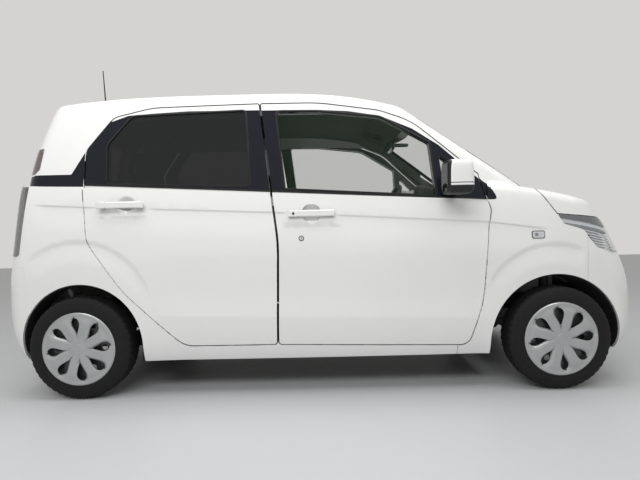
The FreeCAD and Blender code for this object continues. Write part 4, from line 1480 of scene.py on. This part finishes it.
def wheel_ring():
    bm = bmesh.new()
    rows = []
    for i in range(ring_steps):
        turn = 2 * math.pi * i / ring_steps
        thumb = sum(math.exp(-((math.degrees(turn) - at) / thumb_spread) ** 2) for at in (35, 145))
        radius = grip * (1 + thumb_swell * thumb)
        row = []
        for k in range(tube_steps):
            a = 2 * math.pi * k / tube_steps
            size = wheel_radius + radius * math.cos(a)
            corner = on_wheel(size * math.cos(turn), size * math.sin(turn), radius * math.sin(a))
            row.append(bm.verts.new(corner))
        rows.append(row)
    join_rings(bm, rows + rows[:1])
    bmesh.ops.recalc_face_normals(bm, faces=bm.faces)
    return mesh_of(bm)


spokes = bmesh.new()
for low, high in (((-0.170, -0.020, -0.010), (-0.050, 0.022, 0.012)),
                  ((0.050, -0.020, -0.010), (0.170, 0.022, 0.012)),
                  ((-0.018, -0.170, -0.010), (0.018, -0.045, 0.010))):
    spokes.from_mesh(wheel_block(low, high, 6.0, 6))
hub = wheel_block((-0.072, -0.062, -0.020), (0.072, 0.058, 0.030), 4.0)
boss = wheel_block((-0.045, -0.050, -0.115), (0.045, 0.045, -0.022), 5.0)
wheel_rows = [("rim", wheel_ring(), dash_plastic, 60), ("hub", hub, dash_plastic, sharp_angle),
              ("spokes", mesh_of(spokes), gloss_black, sharp_angle), ("boss", boss, dash_plastic, sharp_angle)]
for name, mesh, finish, sharp_from in wheel_rows:
    one = add_piece("wheel_" + name, mesh, finish, "steering_wheel", "dash_plastic", sharp_from)
    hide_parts("steering_wheel")

# %% [markdown]
# On the dashboard sit a hood over the dials, a screen and air vents.
# A mirror hangs at the top of the windscreen, with a sun visor on each side of it.

# %% Dashboard and mirror
hood_fall = 0.35
hood_from = 0.60
visor_fall = 0.42
visor_from = 0.300


def add_inside(name, mesh, finish):
    add_piece(name, mesh, finish, "root", "dash_plastic")


binnacle = soft_block((0.545, -0.490, 0.975), (0.735, -0.170, 1.112), 4.5, 12)
for corner in binnacle.verts:
    corner.co.z -= hood_fall * max(corner.co.x - hood_from, 0)
add_inside("binnacle", mesh_of(binnacle), dash_plastic)
dials = soft_block((0.541, -0.455, 0.995), (0.549, -0.205, 1.085), 6.0, 8)
add_inside("dial_glass", mesh_of(dials), gloss_black)
screen = soft_block((0.528, -0.105, 0.905), (0.552, 0.105, 1.040), 10.0, 8)
add_inside("centre_screen", mesh_of(screen), gloss_black)
vents = bmesh.new()
for y in (-0.570, -0.140, 0.140, 0.570):
    vents.from_mesh(mesh_of(soft_block((0.532, y - 0.028, 0.915), (0.556, y + 0.028, 0.980), 8.0, 6)))
add_inside("air_vents", mesh_of(vents), gloss_black)
inner_mirror = soft_block((0.470, -0.115, 1.375), (0.495, 0.115, 1.435), 5.0, 10)
inner_mirror.from_mesh(mesh_of(soft_block((0.488, -0.012, 1.405), (0.600, 0.012, 1.428), 5.0, 6)))
add_inside("inner_mirror", mesh_of(inner_mirror), gloss_black)
visor = soft_block((visor_from, -0.460, 1.500), (0.470, -0.110, 1.516), 7.0, 10)
for corner in visor.verts:
    corner.co.z -= visor_fall * (corner.co.x - visor_from)
add_pair("sun_visor", mesh_of(visor), head_lining_with_painted_shade, "root", "dash_plastic")

# %% [markdown]
# The black area round the side windows runs on past the doors. Its tip lies on the
# fender, in front of the mirror, and a black band carries it round the tail.

# %% Fender tip and tail band
tip_outline = [(0.866, 1.004), (0.912, 1.005), (0.920, 1.011), (0.917, 1.025), (0.900, 1.054), (0.876, 1.082),
               (0.848, 1.094), (0.846, 1.062)]
tail_cuts = [(-1.485, 1.150, -1.0, 0.0), (0.0, 1.131, 0.0, 1.0), (0.0, 1.186, 0.0, -1.0)]
tip = trim(skin_of("fenders", 0.2), chain(tip_outline + tip_outline[:1]))
add_pair("film_fender_tip", film_sheet(tip), black_film, "root", "gloss_black")
for place, body in (("side_frame_right", "root"), ("tailgate", "tailgate")):
    band = trim(skin_of(place, 0.15), tail_cuts)
    print("tail band on", place, len(band.faces), "faces")
    if band.faces:
        add_pair("tail_band_" + body, film_sheet(band), black_film, body, "gloss_black")

# %% [markdown]
# Two joints between sheets that the solids have as one are drawn as thin dark lines:
# one ahead of the sill and one at the foot of the windscreen pillar.

# %% Seams in the side panels
seam_wide = 0.0018


def add_seam(name, start, end):
    """A dark line on the side frame along a joint between two sheets."""
    a, b = Vector(start), Vector(end)
    along = (b - a).normalized()
    off = Vector((-along.y, along.x)) * seam_wide / 2
    planes = [between(a - off, b - off), between(b + off, a + off), (a.x, a.y, along.x, along.y),
              (b.x, b.y, -along.x, -along.y)]
    band = trim(skin_of("side_frame_right", 0.2), planes)
    print("seam", name, len(band.faces), "faces")
    if band.faces:
        add_pair("seam_" + name, mesh_of(thicken(band, 0.0003, 0.0002)), seal_rubber, "root", "dark_trim")


add_seam("sill", (0.713, 0.250), (0.713, 0.180))
add_seam("pillar", (0.866, 1.086), (0.925, 1.142))

# %% [markdown]
# The pull handle is split: a short fixed end cap, with a round black button on the
# front doors, and the bar that the hand pulls. The split is a thin dark slot.

# %% Handle details
handle_face = -0.7525
slot_half = (0.0012, 0.0165)
for place, x, z in (("front", -0.1490 + 0.036, 0.9520), ("rear", -1.135 + 0.030, 1.016)):
    slot = soft_block((x - slot_half[0], handle_face + 0.0006, z - slot_half[1]),
                      (x + slot_half[0], handle_face + 0.010, z + slot_half[1]), 8.0, 4)
    add_pair("handle_slot_" + place, mesh_of(slot), seal_rubber, "door_" + place + "_%s", "dark_trim")
button = bmesh.new()
button_place = Matrix.Translation((-0.1380, handle_face + 0.0016, 0.9520))
button_place = button_place @ Matrix.Rotation(math.pi / 2, 4, "X")
bmesh.ops.create_cone(button, segments=24, radius1=0.0075, radius2=0.0068, depth=0.003, cap_ends=True,
                      matrix=button_place)
add_pair("handle_button", mesh_of(button), gloss_black, "door_front_%s", "gloss_black")

# %% [markdown]
# A wiper is an arm, a bridge and a rubber blade. Two park along the foot of the
# windscreen and a short one on the back window.


# %% Wipers
bar_sides = 8
blade_parts = 8


def bar(points, width, thick, up):
    """A flat bar along a line of points, rounded a little."""
    bm = bmesh.new()
    rows = []
    up = Vector(up)
    for i, point in enumerate(points):
        before = Vector(points[max(i - 1, 0)])
        after = Vector(points[min(i + 1, len(points) - 1)])
        along = (after - before).normalized()
        side = along.cross(up).normalized()
        top = side.cross(along).normalized()
        row = []
        for a in range(bar_sides):
            turn = 2 * math.pi * (a + 0.5) / bar_sides
            corner = Vector(point) + side * math.cos(turn) * width / 2
            row.append(bm.verts.new(corner + top * math.sin(turn) * thick / 2))
        rows.append(row)
    join_rings(bm, rows)
    bm.faces.new(rows[0])
    bm.faces.new(rows[-1])
    bmesh.ops.recalc_face_normals(bm, faces=bm.faces)
    return mesh_of(bm)


def glass_tree(pane, way):
    skin = skin_of(pane, pane_looks, way)
    tree = BVHTree.FromBMesh(skin)
    skin.free()
    return tree


def above_glass(tree, point, lift):
    near, way = tree.find_nearest(Vector(point))[:2]
    return near + way * lift


def on_screen(share, y, lift):
    """A point over the glass, some share of the way up it."""
    return above_glass(screen_tree, (1.100 - 0.55 * share, y, 1.080 + 0.42 * share), lift)


def screen_line(share, pivot_y, tip_y, start, length, lift):
    """Points along the foot of the glass, over a part of the way from pivot to tip."""
    places = [k / blade_parts for k in range(blade_parts + 1)]
    reach = tip_y - pivot_y
    return [on_screen(share + 0.02 * p, pivot_y + reach * (start + length * p), lift) for p in places]


screen_tree = glass_tree("windscreen", screen_way)
gate_tree = glass_tree("tailgate_glass", gate_way)
wipers = bmesh.new()
wiper_up = (0.6, 0, 0.8)
for pivot_y, tip_y, share in ((-0.100, -0.560, 0.060), (0.430, -0.060, 0.045)):
    blade = screen_line(share, pivot_y, tip_y, 0.12, 0.88, 0.006)
    spine = screen_line(share, pivot_y, tip_y, 0.16, 0.80, 0.013)
    foot = above_glass(screen_tree, (1.150, pivot_y, 1.060), 0.010)
    over = Vector((0, 0, 0.012))
    arm = [foot + Vector((0.035, 0, -0.005)), foot, blade[2] + over, blade[4] + over]
    wipers.from_mesh(bar(blade, 0.005, 0.012, wiper_up))
    wipers.from_mesh(bar(spine, 0.009, 0.005, wiper_up))
    wipers.from_mesh(bar(arm, 0.013, 0.007, wiper_up))
add_piece("front_wipers", mesh_of(wipers), dark_trim, "root", "dark_trim")
gate_blade = [above_glass(gate_tree, (-1.60, 0.02 + 0.036 * k, 1.215 + 0.004 * k), 0.006) for k in range(9)]
gate_arm = [above_glass(gate_tree, (-1.60, -0.040, 1.175), 0.010),
            above_glass(gate_tree, (-1.60, 0.0, 1.19), 0.016), gate_blade[4] + Vector((-0.010, 0, 0))]
rear_wiper = bmesh.new()
rear_wiper.from_mesh(bar(gate_blade, 0.006, 0.010, gate_way))
rear_wiper.from_mesh(bar(gate_arm, 0.014, 0.008, gate_way))
add_piece("rear_wiper", mesh_of(rear_wiper), dark_trim, "tailgate", "dark_trim")

# %% [markdown]
# The floor is one pale plane that runs on behind the car. The light is what a studio
# would use for a white car: a large soft panel overhead, another beside the camera
# that shows in no reflection, and an even grey surround. The camera and the
# reflections see that surround brighter than it shines on the car.

# %% Floor, world and lamps
floor_size = 9.0
surround_lights = 0.53
surround_seen = 0.80
floor_finish = Finish("studio floor", (0.52, 0.53, 0.54), roughness=0.45)
floor_finish.vary(0.7, 0.02)
floor_finish.bump(floor_finish.noise(0.004, 2.0), 0.0002, 0.2)
bm = bmesh.new()
bmesh.ops.create_grid(bm, x_segments=1, y_segments=1, size=floor_size)
floor = in_scene("floor", mesh_of(bm))
floor.data.materials.append(floor_finish.material)

world = bpy.data.worlds.new("studio")
world.use_nodes = True
bpy.context.scene.world = world
surround = world.node_tree.nodes["Background"]
surround.inputs["Color"].default_value = (0.825, 0.815, 0.800, 1.0)
# Seen is 1 for the camera, a reflection and a look through glass, else 0.
paths = world.node_tree.nodes.new("ShaderNodeLightPath")
seen = None
for ray in ("Is Camera Ray", "Is Glossy Ray", "Is Transmission Ray"):
    step = world.node_tree.nodes.new("ShaderNodeMath")
    step.operation = "MAXIMUM"
    world.node_tree.links.new(paths.outputs[ray], step.inputs[0])
    step.inputs[1].default_value = 0.0
    if seen:
        world.node_tree.links.new(seen.outputs[0], step.inputs[1])
    seen = step
strength = world.node_tree.nodes.new("ShaderNodeMapRange")
world.node_tree.links.new(seen.outputs[0], strength.inputs["Value"])
strength.inputs["To Min"].default_value = surround_lights
strength.inputs["To Max"].default_value = surround_seen
world.node_tree.links.new(strength.outputs[0], surround.inputs["Strength"])


def lamp(name, place, target, width, depth, watts):
    data = bpy.data.lights.new(name, "AREA")
    data.shape = "RECTANGLE"
    data.size = width
    data.size_y = depth
    data.energy = watts
    made = in_scene(name, data)
    made.location = place
    made.rotation_euler = (Vector(target) - Vector(place)).to_track_quat("-Z", "Y").to_euler()
    return made


lamp("overhead", (0.0, -0.9, 3.4), (0.0, -0.2, 0.0), 4.5, 2.0, 84.0)
front_lamp = lamp("beside_camera", (-0.8, -4.2, 3.4), (0.0, 0.0, 0.6), 3.4, 1.2, 92.0)
front_lamp.visible_glossy = False
bpy.context.scene.view_settings.view_transform = "Standard"
